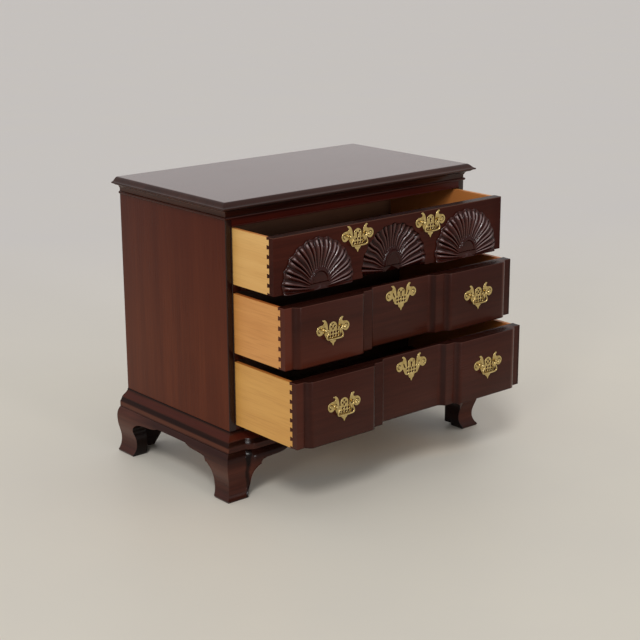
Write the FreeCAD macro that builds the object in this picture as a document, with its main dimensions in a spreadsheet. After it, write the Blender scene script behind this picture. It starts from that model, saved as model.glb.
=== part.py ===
import FreeCAD, Part
import math
import os
import re
import Sketcher
from types import SimpleNamespace
from FreeCAD import Vector

# A block front chest of three drawers.  X runs to the right, Y to the back, Z up.
# The origin lies on the floor under the middle of the whole box, drawers as they stand open.
# Drawn places count from the case's front plane, and each piece's Placement carries that plane.

doc = FreeCAD.newDocument("BlockFrontChest")

SIZES = {
    # the case
    "case_width": 863.0,
    "case_depth": 491.0,
    "side_thick": 20.0,
    "back_thick": 12.0,
    "bottom_thick": 15.0,
    "rail_thick": 21.0,
    "rail_depth": 62.0,
    "bottom_rail_thick": 14.7,
    "top_rail_height": 49.6,
    "top_rail_thick": 20.0,
    "bead_radius": 1.6,
    "runner_width": 38.0,
    "dust_thick": 6.0,
    # the top and the cornice under it
    "top_thick": 18.5,
    "top_lip_out": 25.5,
    "top_face_in": 19.2,
    "top_back_out": 1.7,
    "cornice_height": 30.0,
    "cornice_inlet": 5.0,
    "cornice_bead_out": 4.5,
    "cornice_cove_out": 18.0,
    # the blocked plan, counted from each end of a drawer front
    "flat_end": 26.0,
    "step_width": 20.0,
    "block_width": 198.0,
    "strip_width": 30.0,
    "block_rise": 15.0,
    "recess_depth": 15.5,
    "creep_hollow": 0.65,
    "creep_edge": 0.2,
    # the base
    "skirt_height": 134.0,
    "skirt_seat": 7.0,
    "apron_under": 119.0,
    "base_moulding_height": 48.5,
    "base_moulding_out": 28.8,
    "base_moulding_seat": 25.0,
    "foot_bulge_out": 41.0,
    "foot_waist_out": 28.5,
    "foot_toe_out": 41.0,
    "foot_width": 62.0,
    "rear_foot_width": 73.0,
    "bracket_reach": 195.0,
    "rear_bracket_thick": 18.0,
    "rear_bracket_in": 5.0,
    "rear_bracket_foot": 62.0,
    "rear_bracket_lean": 140.0,
    "glue_block_side": 22.0,
    "glue_block_lift": 10.0,
    # the drawers
    "drawer_gap_below": 0.3,
    "drawer_gap_above": 1.8,
    "drawer_gap_side": 0.5,
    "top_drawer_height": 149.8,
    "middle_drawer_height": 162.6,
    "bottom_drawer_height": 176.2,
    "top_drawer_open": 169.5,
    "middle_drawer_open": 211.4,
    "bottom_drawer_open": 254.9,
    "drawer_length": 455.0,
    "front_thick": 27.0,
    "lap_thick": 18.0,
    "drawer_side_thick": 12.7,
    "drawer_side_drop": 2.0,
    "drawer_back_thick": 12.0,
    "drawer_back_drop": 8.0,
    "drawer_bottom_thick": 6.0,
    "drawer_bottom_lift": 10.0,
    "groove_depth": 5.0,
    # the carved shells
    "shell_shift": 2.0,
    "shell_clear": 16.0,
    "shell_rise": 15.0,
    "shell_height": 13.0,
    "shell_rim": 20.0,
    "hub_radius": 32.0,
    "hub_height": 15.0,
    "rib_radius": 11.0,
    # the brasses
    "plate_thick": 1.8,
    "ring_radius": 13.5,
    "lobe_radius": 11.8,
    "lobe_out": 44.0,
    "lobe_drop": 4.5,
    "horn_height": 23.0,
    "pendant_drop": 50.0,
    "plate_lift": 12.8,
    "top_plate_lift": 48.3,
    "escutcheon_drop": 29.8,
    "post_spacing": 63.5,
    "post_drop": 4.0,
    "post_reach": 8.0,
    "post_head_radius": 4.5,
    "shank_radius": 2.2,
    "shank_room": 0.4,
    "nut_radius": 6.5,
    "nut_thick": 3.5,
    "bail_drop": 28.0,
    "bail_radius": 2.4,
    "bail_half_width": 26.0,
    "bail_corner": 8.0,
    "bail_pin_radius": 1.5,
    "fit_room": 0.05,
}
RIB_COUNT = 13
TAIL_COUNTS = {"top": 6, "middle": 6, "bottom": 7}
CURVE_COUNT = 7

# The case's front plane stands so far from the origin that the box is centred on it.
front_reach = SIZES["bottom_drawer_open"] + SIZES["block_rise"] + SIZES["plate_thick"]
front_reach += SIZES["post_reach"] + SIZES["post_head_radius"]
back_reach = SIZES["case_depth"] + SIZES["top_back_out"]
SIZES["case_front"] = round((front_reach - back_reach) / 2, 4)

sheet = doc.addObject("Spreadsheet::Sheet", "Sizes")
for row, (alias, value) in enumerate(SIZES.items(), start=1):
    sheet.set(f"A{row}", alias)
    sheet.set(f"B{row}", str(value))
    sheet.setAlias(f"B{row}", alias)
doc.recompute()
s = SimpleNamespace(**{alias: float(getattr(sheet, alias)) for alias in SIZES})

# Heights up the case, from the floor, as expressions on the sheet and as numbers.
LEVELS = {"base_top": "skirt_height + base_moulding_height"}
LEVELS["bottom_rail_top"] = LEVELS["base_top"] + " + bottom_rail_thick"
LEVELS["bottom_floor"] = LEVELS["bottom_rail_top"] + " + drawer_gap_below"
LEVELS["lower_rail"] = LEVELS["bottom_floor"] + " + bottom_drawer_height + drawer_gap_above"
LEVELS["middle_floor"] = LEVELS["lower_rail"] + " + rail_thick + drawer_gap_below"
LEVELS["upper_rail"] = LEVELS["middle_floor"] + " + middle_drawer_height + drawer_gap_above"
LEVELS["top_floor"] = LEVELS["upper_rail"] + " + rail_thick + drawer_gap_below"
LEVELS["top_rail"] = LEVELS["top_floor"] + " + top_drawer_height + drawer_gap_above"
LEVELS["case_top"] = LEVELS["top_rail"] + " + top_rail_height"
z = SimpleNamespace()
for level, sum_of_sizes in LEVELS.items():
    setattr(z, level, sum(getattr(s, word) for word in sum_of_sizes.split(" + ")))

# The blocked plan across a drawer front, from its end to the middle, in the same two forms.
PLAN = {"front_half": "case_width / 2 - side_thick - drawer_gap_side"}
PLAN["block_middle"] = PLAN["front_half"] + " - flat_end - step_width - block_width / 2"
PLAN["strip_middle"] = (PLAN["front_half"] + " - flat_end - 2 * step_width - block_width"
                        " - strip_width / 2")
PLAN["shell_middle"] = PLAN["block_middle"] + " + shell_shift"

case_half = s.case_width / 2
opening_half = case_half - s.side_thick
front_half = opening_half - s.drawer_gap_side
block_foot = front_half - s.flat_end
block_outer = block_foot - s.step_width
block_inner = block_outer - s.block_width
inner_foot = block_inner - s.step_width
strip_edge = inner_foot - s.strip_width
recess_edge = strip_edge - s.step_width
block_middle = (block_outer + block_inner) / 2
strip_middle = (inner_foot + strip_edge) / 2
shell_radius = block_middle + s.shell_shift - strip_middle - s.shell_clear

PIECES = []


# ---------------------------------------------------------------- ways of working

def rule(text):
    """An expression on the sheet, written with the sheet's own words."""
    return re.sub(r"[a-z][a-z_]*", lambda word: "Sizes." + word.group(), text)


def bind(feature, **rules):
    """Tie properties of a feature to the sheet; base_x stands for Placement.Base.x."""
    for name, text in rules.items():
        path = "Placement.Base." + name[-1] if name.startswith("base_") else name
        feature.setExpression(path, rule(text))
    return feature


def board(name, corner, sizes):
    """A sawn board: a box with its low corner and its three sizes on the sheet."""
    box = doc.addObject("Part::Box", name)
    bind(box, Length=sizes[0], Width=sizes[1], Height=sizes[2])
    return bind(box, base_x=corner[0], base_y=corner[1], base_z=corner[2])


def solid(name, shape):
    """A piece whose shape is worked out from the sheet's sizes."""
    feature = doc.addObject("Part::Feature", name)
    feature.Shape = shape
    return feature


def cut(name, base, *tools):
    """The base with each tool cut away."""
    for number, tool in enumerate(tools):
        result = doc.addObject("Part::Cut", f"{name}_cut{number}")
        result.Base = base
        result.Tool = tool
        base = result
    return base


def fused(name, *members):
    feature = doc.addObject("Part::MultiFuse", name + "_fuse")
    feature.Shapes = list(members)
    return feature


def group(name, members):
    """Like pieces in one node, each a solid of its own."""
    feature = doc.addObject("Part::Compound", name + "_group")
    feature.Links = list(members)
    return feature


def finish(label, feature, x="0", y="case_front", height="0"):
    """Name a sub-part and set it in its place in the chest."""
    feature.Label = label
    bind(feature, base_x=x, base_y=y, base_z=height)
    PIECES.append(feature)
    return feature


def finish_board(label, corner, sizes):
    """A sub-part that is one plain board."""
    box = board(label + "_board", corner, sizes)
    box.Label = label
    PIECES.append(box)
    return box


def traced(path, to_space):
    """A closed wire: one pair is a straight run to it, three pairs are a curve with two handles."""
    edges = []
    here = to_space(*path[0])
    for step in list(path[1:]) + [path[0]]:
        run = step if isinstance(step[0], tuple) else (step,)
        poles = [here] + [to_space(*point) for point in run]
        here = poles[-1]
        if len(poles) == 2:
            edges.append(Part.makeLine(*poles))
            continue
        curve = Part.BezierCurve()
        curve.setPoles(poles)
        edges.append(curve.toShape())
    return Part.Wire(edges)


def stations(path, count):
    """Points down a profile: the ends of its straight runs, and count points on each curve."""
    points = [path[0]]
    for step in path[1:]:
        if not isinstance(step[0], tuple):
            points.append(step)
            continue
        curve = Part.BezierCurve()
        curve.setPoles([Vector(*points[-1], 0)] + [Vector(*point, 0) for point in step])
        for number in range(1, count + 1):
            place = curve.value(number / count)
            points.append((place.x, place.y))
    return points


# ---------------------------------------------------------------- the blocked plan

# A return leaves the flat at a sharp corner and runs softly into the block or the recess.
# Shares of its width and rise: where it leaves to, and where it settles at the new level.
LEAVE_ALONG = 0.2
LEAVE_RISE = 0.45
SETTLE_ALONG = 0.5


def return_curve(start, end, flat, height):
    """The return between two levels of the blocked front, drawn from start to end."""
    leaves = abs(start[1] - flat) < 0.001
    (x_flat, y_flat), (x_far, y_far) = (start, end) if leaves else (end, start)
    across, rise = x_far - x_flat, y_far - y_flat
    corners = [(x_flat, y_flat), (x_flat + LEAVE_ALONG * across, y_flat + LEAVE_RISE * rise),
               (x_flat + SETTLE_ALONG * across, y_far), (x_far, y_far)]
    curve = Part.BezierCurve()
    curve.setPoles([Vector(x, y, height) for x, y in (corners if leaves else corners[::-1])])
    return curve.toShape()


def blocked_wire(height, out, end, back):
    """The blocked outline standing out from the case by 'out', closed along the back points."""
    flat, block, recess = -out, -out - s.block_rise, -out + s.recess_depth
    half = [
        (end, flat),
        (block_foot + s.creep_hollow * out, flat),
        (block_outer + s.creep_edge * out, block),
        (block_inner - s.creep_edge * out, block),
        (inner_foot - s.creep_hollow * out, flat),
        (strip_edge - s.creep_edge * out, flat),
        (recess_edge - s.creep_hollow * out, recess),
    ]
    front = [(-x, y) for x, y in half] + half[::-1]
    edges = []
    for start, end_point in zip(front, front[1:]):
        if abs(start[1] - end_point[1]) > 0.001:
            edges.append(return_curve(start, end_point, flat, height))
        else:
            edges.append(Part.makeLine(Vector(*start, height), Vector(*end_point, height)))
    closing = [front[-1]] + list(back) + [front[0]]
    for start, end_point in zip(closing, closing[1:]):
        edges.append(Part.makeLine(Vector(*start, height), Vector(*end_point, height)))
    return Part.Wire(edges)


def blocked_board(half_width, back_y, height):
    """A board with the blocked front edge, as thick as the height."""
    wire = blocked_wire(0, 0, half_width, [(half_width, back_y), (-half_width, back_y)])
    return Part.Face(wire).extrude(Vector(0, 0, height))


def blocked_moulding(profile, curve_count, back):
    """A front moulding: a stack of blocked outlines, mitred to the side mouldings."""
    points = stations(profile, curve_count)
    wires = [blocked_wire(height, out, case_half + out, back) for out, height in points]
    return Part.makeLoft(wires, True, True)


def run_between(profile, at_start, at_end):
    """A straight length of moulding between two places of its profile."""
    return Part.makeLoft([traced(profile, at_start), traced(profile, at_end)], True, True)


def side_moulding(profile, side):
    """A side moulding from the front mitre to the flush back end."""
    def mitre(out, height):
        return Vector(side * (case_half + out), -out, height)

    def back_end(out, height):
        return Vector(side * (case_half + out), s.case_depth, height)
    return run_between(profile, mitre, back_end)


# ---------------------------------------------------------------- the case

SIDES = (("left", -1), ("right", 1))
case_inside = "case_width - 2 * side_thick"
inside_low_x = "side_thick - case_width / 2"
cornice_foot = LEVELS["case_top"] + " - cornice_height"

for hand, side in SIDES:
    low_x = "-case_width / 2" if side < 0 else "case_width / 2 - side_thick"
    panel = board(f"side_{hand}_panel", (low_x, "0", "skirt_height"),
                  ("side_thick", "case_depth", LEVELS["case_top"] + " - skirt_height"))
    rebate_x = "-case_width / 2" if side < 0 else "case_width / 2 - cornice_inlet"
    rebate = board(f"side_{hand}_rebate", (rebate_x, "0", cornice_foot),
                   ("cornice_inlet", "case_depth", "cornice_height"))
    notch = board(f"side_{hand}_notch", (low_x, "0", cornice_foot),
                  ("side_thick", "cornice_inlet", "cornice_height"))
    bead_low = z.bottom_rail_top
    bead = Part.makeCylinder(s.bead_radius, z.top_rail - bead_low,
                             Vector(side * (opening_half + s.bead_radius), 0, bead_low))
    shaped = cut(f"case_side_{hand}", panel, rebate, notch)
    finish(f"case_side_{hand}", fused(f"case_side_{hand}", shaped, solid(f"side_{hand}_bead", bead)))

finish_board("back_panel", (inside_low_x, "case_front + case_depth - back_thick",
                            LEVELS["base_top"] + " - bottom_thick"),
             (case_inside, "back_thick",
              LEVELS["case_top"] + " - " + LEVELS["base_top"].replace("+", "-") + " + bottom_thick"))
finish_board("case_bottom", (inside_low_x, "case_front + base_moulding_seat",
                             LEVELS["base_top"] + " - bottom_thick"),
             (case_inside, "case_depth - base_moulding_seat - back_thick", "bottom_thick"))

top_rail = board("top_rail_stock", (inside_low_x, "0", LEVELS["top_rail"]),
                 (case_inside, "top_rail_thick", "top_rail_height"))
rail_inlet = board("top_rail_inlet", (inside_low_x, "0", cornice_foot),
                   (case_inside, "cornice_inlet", "cornice_height"))
finish("top_rail", cut("top_rail", top_rail, rail_inlet))

for label, thick, level in (("upper_rail", "rail_thick", "upper_rail"),
                            ("lower_rail", "rail_thick", "lower_rail"),
                            ("bottom_rail", "bottom_rail_thick", "base_top")):
    rail = solid(label + "_blocked", blocked_board(opening_half, s.rail_depth, getattr(s, thick)))
    finish(label, rail, height=LEVELS[level])

# Runners carry the drawer sides behind each rail, with a dust panel between the upper pairs.
runners = []
panels = []
runner_length = "case_depth - rail_depth - back_thick"
for name, thick, level in (("bottom", "bottom_rail_thick", "base_top"),
                           ("middle", "rail_thick", "lower_rail"),
                           ("top", "rail_thick", "upper_rail")):
    for hand, low_x in (("left", inside_low_x),
                        ("right", "case_width / 2 - side_thick - runner_width")):
        runners.append(board(f"runner_{name}_{hand}", (low_x, "rail_depth", LEVELS[level]),
                             ("runner_width", runner_length, thick)))
    if name != "bottom":
        panels.append(board(f"dust_{name}", (inside_low_x + " + runner_width", "rail_depth",
                                             LEVELS[level] + " + (rail_thick - dust_thick) / 2"),
                            (case_inside + " - 2 * runner_width", runner_length, "dust_thick")))
finish("drawer_runners", group("drawer_runners", runners))
finish("dust_panels", group("dust_panels", panels))


# ---------------------------------------------------------------- the top and cornice

top_profile = [
    (0, 0), (s.cornice_cove_out, 0), (s.top_lip_out, 2.5), (s.top_lip_out, 5.5),
    ((s.top_lip_out - 9, 7), (s.top_lip_out - 8, s.top_thick - 1.5),
     (s.top_lip_out - s.top_face_in, s.top_thick)),
    (0, s.top_thick),
]
reach = case_half + s.top_lip_out
left_edge = traced([(-point[0] - case_half, point[1]) if not isinstance(point[0], tuple) else
                    tuple((-out - case_half, up) for out, up in point) for point in top_profile],
                   lambda x, up: Vector(x, -reach, up))
right_edge = traced([(point[0] + case_half, point[1]) if not isinstance(point[0], tuple) else
                     tuple((out + case_half, up) for out, up in point) for point in top_profile],
                    lambda x, up: Vector(x, -reach, up))
along = Vector(0, reach + s.case_depth + s.top_back_out, 0)
field = Part.makeBox(s.case_width, along.y, s.top_thick, Vector(-case_half, -reach, 0))
across = field.fuse([Part.Face(left_edge).extrude(along), Part.Face(right_edge).extrude(along)])
front_edge = traced(top_profile, lambda out, up: Vector(-reach, -out, up))
depth_field = Part.makeBox(2 * reach, s.case_depth + s.top_back_out, s.top_thick,
                           Vector(-reach, 0, 0))
down = depth_field.fuse(Part.Face(front_edge).extrude(Vector(2 * reach, 0, 0)))
top_solid = across.common(down).removeSplitter()
finish("top_board", solid("top_board_worked", top_solid), height=LEVELS["case_top"])

bead_up = 2 * s.cornice_bead_out - 1
cornice_profile = [
    (-s.cornice_inlet, 0), (0, 0),
    ((s.cornice_bead_out * 1.3, 0), (s.cornice_bead_out * 1.3, bead_up), (0, bead_up)),
    (0, s.cornice_height * 0.62), (1.5, s.cornice_height * 0.65),
    ((2.5, s.cornice_height - 4), (8, s.cornice_height - 2), (s.cornice_cove_out, s.cornice_height)),
    (-s.cornice_inlet, s.cornice_height),
]
for hand, side in SIDES:
    finish(f"cornice_{hand}", solid(f"cornice_{hand}_run", side_moulding(cornice_profile, side)),
           height=cornice_foot)
front_cornice = run_between(cornice_profile,
                            lambda out, up: Vector(-case_half - out, -out, up),
                            lambda out, up: Vector(case_half + out, -out, up))
finish("cornice_front", solid("cornice_front_run", front_cornice), height=cornice_foot)


# ---------------------------------------------------------------- the base

# From the floor of the moulding up: a flat face, a small step, then a cyma to the case.
fascia_out = s.base_moulding_out
base_profile = [
    (fascia_out, 0), (fascia_out, 16), (fascia_out - 2.4, 18.5), (fascia_out - 6.2, 24.5),
    ((fascia_out - 8, 34), (3, s.base_moulding_height - 13), (1, s.base_moulding_height)),
]
closed_base_profile = [(0, 0)] + base_profile + [(0, s.base_moulding_height)]
seat_y = s.base_moulding_seat
moulding_back = [(case_half, 0), (opening_half, 0), (opening_half, seat_y),
                 (-opening_half, seat_y), (-opening_half, 0), (-case_half, 0)]
finish("base_moulding_front",
       solid("base_moulding_front_run",
             blocked_moulding(base_profile, CURVE_COUNT, moulding_back)), height="skirt_height")
for hand, side in SIDES:
    finish(f"base_moulding_{hand}",
           solid(f"base_moulding_{hand}_run", side_moulding(closed_base_profile, side)),
           height="skirt_height")

# The ogee of the bracket feet, from the floor up: toe, waist, bulge, and the neck at the top.
bulge_up = s.skirt_height - 26
waist_up = s.skirt_height * 0.28
foot_profile = [
    (s.foot_toe_out - 2, 0), (s.foot_toe_out, 5),
    ((s.foot_toe_out - 7, 12), (s.foot_waist_out, waist_up - 14), (s.foot_waist_out, waist_up)),
    ((s.foot_waist_out, waist_up + 26), (s.foot_bulge_out, bulge_up - 34),
     (s.foot_bulge_out, bulge_up)),
    ((s.foot_bulge_out, bulge_up + 14), (s.base_moulding_out + 5, s.skirt_height - 3),
     (s.base_moulding_out - 0.5, s.skirt_height)),
]
closed_foot_profile = [(-s.skirt_seat, 0)] + foot_profile + [(-s.skirt_seat, s.skirt_height)]

# The inner outline of a foot and its bracket, counted inwards from the foot's outer end:
# up the foot, round the cusp, and along under the apron to the end of the bracket.
foot_in = s.foot_width
rear_in = s.rear_foot_width
apron = s.apron_under
bracket_end = s.bracket_reach
scroll = [
    (foot_in, -1), (foot_in, 0),
    ((foot_in + 8, 15), (foot_in + 16, 30), (foot_in + 17, 46)),
    ((foot_in + 18, 58), (foot_in + 18, 70), (foot_in + 22, apron - 42)),
    ((foot_in + 26, apron - 34), (foot_in + 32, apron - 27), (foot_in + 41, apron - 26)),
    ((foot_in + 41, apron - 20), (foot_in + 43, apron - 15), (foot_in + 46, apron - 14)),
    ((foot_in + 60, apron - 9), (bracket_end - 47, apron - 10), (bracket_end - 25, apron - 8)),
    ((bracket_end - 18, apron - 6), (bracket_end - 6, apron - 4), (bracket_end, apron)),
]
rear_scroll = [
    (rear_in, -1), (rear_in, 0),
    ((rear_in + 6, 10), (rear_in + 8, 28), (rear_in + 5, 50)),
    ((rear_in + 3, 65), (rear_in - 3, 72), (rear_in, apron - 39)),
    ((rear_in + 5, apron - 27), (rear_in + 20, apron - 18), (rear_in + 35, apron - 14)),
    ((rear_in + 50, apron - 10), (bracket_end - 46, apron - 9), (bracket_end - 27, apron - 8)),
    ((bracket_end - 12, apron - 6), (bracket_end, apron - 4), (bracket_end + 6, apron)),
]


def reversed_path(path):
    """The same path walked from its other end."""
    points = [path[0]]
    for step in path[1:]:
        points.extend(step if isinstance(step[0], tuple) else (step,))
    back = []
    spot = len(points) - 1
    for step in reversed(path[1:]):
        count = len(step) if isinstance(step[0], tuple) else 1
        run = tuple(points[spot - number] for number in range(1, count + 1))
        back.append(run if count > 1 else run[0])
        spot -= count
    return [points[-1]] + back


def mirrored(path, width):
    """The path as seen from the far end of a stretch of this width."""
    def turn(step):
        if isinstance(step[0], tuple):
            return tuple((width - across, up) for across, up in step)
        return (width - step[0], step[1])
    return [turn(step) for step in path]


def window(width, far_scroll):
    """The opening between the two feet of a skirt, as wide as its toes are apart."""
    return scroll + reversed_path(mirrored(far_scroll, width))


toe_half = case_half + s.foot_toe_out
skirt_back = [(case_half - s.skirt_seat, s.skirt_seat), (s.skirt_seat - case_half, s.skirt_seat)]
front_blank = blocked_moulding(foot_profile, CURVE_COUNT, skirt_back)
front_window = traced(window(2 * toe_half, scroll),
                      lambda across, up: Vector(across - toe_half, -case_half, up))
finish("skirt_front", cut("skirt_front", solid("skirt_front_blank", front_blank),
                          solid("skirt_front_window",
                                Part.Face(front_window).extrude(Vector(0, 2 * case_half, 0)))))
for hand, side in SIDES:
    blank = side_moulding(closed_foot_profile, side)
    toe_run = s.case_depth + s.foot_toe_out
    side_window = traced(window(toe_run, rear_scroll),
                         lambda across, up: Vector(side * opening_half / 2,
                                                   across - s.foot_toe_out, up))
    opening = Part.Face(side_window).extrude(Vector(side * case_half, 0, 0))
    finish(f"skirt_{hand}", cut(f"skirt_{hand}", solid(f"skirt_{hand}_blank", blank),
                                solid(f"skirt_{hand}_window", opening)))


def sketch_outline(body, corners):
    """A closed outline on the body's front plane, each corner held by two sheet expressions."""
    plane = next(item for item in body.Origin.OriginFeatures if item.Role == "XZ_Plane")
    sketch = body.newObject("Sketcher::SketchObject", body.Name + "_outline")
    sketch.AttachmentSupport = [(plane, "")]
    sketch.MapMode = "FlatFace"
    spots = [Vector(across, up, 0) for across, up, _, _ in corners]
    for number, spot in enumerate(spots):
        sketch.addGeometry(Part.LineSegment(spot, spots[(number + 1) % len(spots)]), False)
    for number in range(len(spots)):
        following = (number + 1) % len(spots)
        sketch.addConstraint(Sketcher.Constraint("Coincident", number, 2, following, 1))
    for number, (across, up, across_rule, up_rule) in enumerate(corners):
        for kind, value, text in (("DistanceX", across, across_rule), ("DistanceY", up, up_rule)):
            place = sketch.addConstraint(Sketcher.Constraint(kind, -1, 1, number, 1, value))
            sketch.setExpression(f"Constraints[{place}]", rule(text))
    return sketch


# A plain board with a diagonal edge braces each rear foot, under the case bottom.
bracket_inner = case_half - s.skirt_seat
bracket_toe = bracket_inner - s.rear_bracket_foot
bracket_top = s.skirt_height + s.base_moulding_height - s.bottom_thick
inner_rule = "(case_width / 2 - skirt_seat)"
toe_rule = "(case_width / 2 - skirt_seat - rear_bracket_foot)"
top_rule = "(skirt_height + base_moulding_height - bottom_thick)"
opening_rule = "(case_width / 2 - side_thick)"
for hand, side in SIDES:
    sign = "-" if side < 0 else ""
    outline = (
        (side * bracket_inner, 0, sign + inner_rule, "0"),
        (side * bracket_toe, 0, sign + toe_rule, "0"),
        (side * (bracket_toe - s.rear_bracket_lean), bracket_top,
         f"{sign}({toe_rule} - rear_bracket_lean)", top_rule),
        (side * opening_half, bracket_top, sign + opening_rule, top_rule),
        (side * opening_half, s.skirt_height, sign + opening_rule, "skirt_height"),
        (side * bracket_inner, s.skirt_height, sign + inner_rule, "skirt_height"),
    )
    bracket = doc.addObject("PartDesign::Body", f"rear_bracket_{hand}_body")
    outline_sketch = sketch_outline(bracket, outline)
    pad = bracket.newObject("PartDesign::Pad", f"rear_bracket_{hand}_pad")
    pad.Profile = outline_sketch
    bind(pad, Length="rear_bracket_thick")
    finish(f"rear_bracket_{hand}", bracket, y="case_front + case_depth - rear_bracket_in")

blocks = []
for hand, low_x in (("left", "skirt_seat - case_width / 2"),
                    ("right", "case_width / 2 - skirt_seat - glue_block_side")):
    for end, low_y in (("front", "skirt_seat"),
                       ("rear", "case_depth - rear_bracket_in - rear_bracket_thick"
                                " - glue_block_side")):
        blocks.append(board(f"block_{end}_{hand}", (low_x, low_y, "glue_block_lift"),
                            ("glue_block_side", "glue_block_side",
                             "skirt_height - glue_block_lift")))
finish("foot_glue_blocks", group("foot_glue_blocks", blocks))


# ---------------------------------------------------------------- the carved shells

def fan(count):
    """The angles of the ribs, spread over the half circle."""
    spread = 180 / (count + 0.7)
    return [math.radians(90 + spread * (number - (count - 1) / 2)) for number in range(count)]


def rib(angle, tip_radius, lift):
    """One rib: a tapered rod from the hub, with a rolled end."""
    way = Vector(math.cos(angle), 0, math.sin(angle))
    root = way * (s.hub_radius - 6) + Vector(0, -lift, 0)
    length = shell_radius - tip_radius - s.hub_radius + 6
    taper = Part.makeCone(tip_radius * 0.3, tip_radius, length, root, way)
    return taper.fuse(Part.makeSphere(tip_radius, root + way * length))


def raised_shell(below):
    """A shell standing on the drawer front, cut off straight at the drawer's lower edge."""
    dish = Part.makeCone(shell_radius - s.rib_radius / 2, shell_radius - s.shell_rim,
                         s.shell_height, Vector(0, 0, 0), Vector(0, -1, 0))
    hub = Part.makeCone(s.hub_radius, s.hub_radius - 5, s.hub_height, Vector(0, 0, 0),
                        Vector(0, -1, 0))
    body = dish.fuse([hub] + [rib(angle, s.rib_radius, s.shell_height / 2)
                              for angle in fan(RIB_COUNT)])
    room = Part.makeBox(3 * shell_radius, shell_radius, shell_radius + below + 5,
                        Vector(-1.5 * shell_radius, -shell_radius, -below))
    return body.common(room).removeSplitter()


def sunk_shell():
    """What is carved away for the middle shell."""
    dish = Part.makeCone(shell_radius - 2, shell_radius - s.shell_rim, s.recess_depth,
                         Vector(0, 0, 0), Vector(0, 1, 0))
    hub = Part.makeCone(s.hub_radius + 4, s.hub_radius, s.recess_depth,
                        Vector(0, s.recess_depth * 0.35, 0), Vector(0, 1, 0))
    return dish.cut(hub)


# ---------------------------------------------------------------- the brasses

def plate_outline():
    """Half of the pierced plate's parts, to the right of its middle, as closed paths."""
    lobe_x, lobe_y = s.lobe_out, -s.lobe_drop
    horn = [
        (16, -12),
        ((20, -8), (18, 6), (20, 11)),
        ((21, 17), (24, s.horn_height - 2), (27, s.horn_height)),
        ((30, s.horn_height + 0.5), (33, s.horn_height - 1), (34, s.horn_height - 3)),
        ((31, s.horn_height - 5), (31, 12), (36, 8)),
        ((40, 6), (lobe_x, lobe_y + s.lobe_radius + 1), (lobe_x, lobe_y + s.lobe_radius)),
        (lobe_x - 6, lobe_y),
        ((34, -8), (30, -8), (28, -14)),
    ]
    shield = [
        (0, -8), (16, -10), ((20, -8), (28, -12), (28.5, -16)),
        ((29, -22), (24, -23), (21, -26)),
        ((18, -31), (12, -31), (8.5, -32)),
        ((10, -36), (7, -39), (5, -39.5)),
        ((3, -42), (2, -46), (0, -s.pendant_drop)),
    ]
    return horn, shield


def plate_shape(holes):
    """A pierced plate, its face on the drawer front and its middle ring at the origin."""
    through = Vector(0, -s.plate_thick, 0)
    parts = []
    for path in plate_outline():
        for side in (1, -1):
            wire = traced(path, lambda across, up: Vector(side * across, 0, up))
            parts.append(Part.Face(wire).extrude(through))
    for side in (1, -1):
        parts.append(Part.makeCylinder(s.lobe_radius, s.plate_thick,
                                       Vector(side * s.lobe_out, 0, -s.lobe_drop), Vector(0, -1, 0)))
    ring = Part.makeCylinder(s.ring_radius, s.plate_thick, Vector(0, 0, 0), Vector(0, -1, 0))
    pierced = [Part.makeCylinder(radius, 2 * s.plate_thick, Vector(x, s.plate_thick / 2, up),
                                 Vector(0, -1, 0)) for x, up, radius in holes]
    return ring.fuse(parts).cut(pierced).removeSplitter()


def both_sides(holes):
    return [(side * x, up, radius) for x, up, radius in holes for side in (1, -1)]


body_holes = both_sides(((6.5, -24.5, 2.2), (16.5, -24, 2.2), (9.5, -15.5, 2.2), (21, -16, 2.2),
                         (s.lobe_out + 2, -s.lobe_drop, 4.2), (29, 0.5, 1.8)))
body_holes.append((0, -16.5, 2.2))
lattice_holes = both_sides(((5.5, 5.0, 2.4), (5.5, -5.0, 2.4)))
post_half = s.post_spacing / 2
post_holes = both_sides(((post_half, -s.post_drop, s.shank_radius + s.fit_room),))
pull_plate = plate_shape(body_holes + lattice_holes + post_holes)
key_slot = Part.makeBox(3.4, 3 * s.plate_thick, 9, Vector(-1.7, -2 * s.plate_thick, -9))
escutcheon = plate_shape(body_holes + both_sides(((6.5, 5.5, 2.0),)) + [(0, 0.5, 3.2)])
escutcheon = escutcheon.cut(key_slot)


def post(length):
    """A turned post: threaded shank, collar, and a round head bored for the bail's pin."""
    reach = s.plate_thick + s.post_reach
    neck = s.post_head_radius * 0.62
    profile = [
        (0, length), (s.shank_radius, length), (s.shank_radius, -s.plate_thick),
        (s.post_head_radius, -s.plate_thick), (s.post_head_radius, -s.plate_thick - 1.2),
        ((neck, -s.plate_thick - 1.4), (neck, -s.plate_thick - 2), (neck, 1.5 - reach)),
        (0, 1.5 - reach),
    ]
    turning = Part.Face(traced(profile, lambda out, along: Vector(out, along, 0)))
    stem = turning.revolve(Vector(0, 0, 0), Vector(0, 1, 0), 360)
    head = Part.makeSphere(s.post_head_radius, Vector(0, -reach, 0))
    bore = Part.makeCylinder(s.bail_pin_radius + s.fit_room, 3 * s.post_head_radius,
                             Vector(-1.5 * s.post_head_radius, -reach, 0), Vector(1, 0, 0))
    return stem.fuse(head).cut(bore)


def rounded_path(corners, radius):
    """A wire of straight runs with a tangent arc at each inner corner."""
    edges = []
    here = corners[0]
    for corner, following in zip(corners[1:], corners[2:]):
        into = (corner - here).normalize()
        away = (following - corner).normalize()
        turn = into.getAngle(away)
        setback = radius * math.tan(turn / 2)
        start = corner - into * setback
        end = corner + away * setback
        bisector = (away - into).normalize()
        centre = corner + bisector * (radius / math.cos(turn / 2))
        middle = centre - bisector * radius
        edges.append(Part.makeLine(here, start))
        edges.append(Part.Arc(start, middle, end).toShape())
        here = end
    edges.append(Part.makeLine(here, corners[-1]))
    return Part.Wire(edges)


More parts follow.
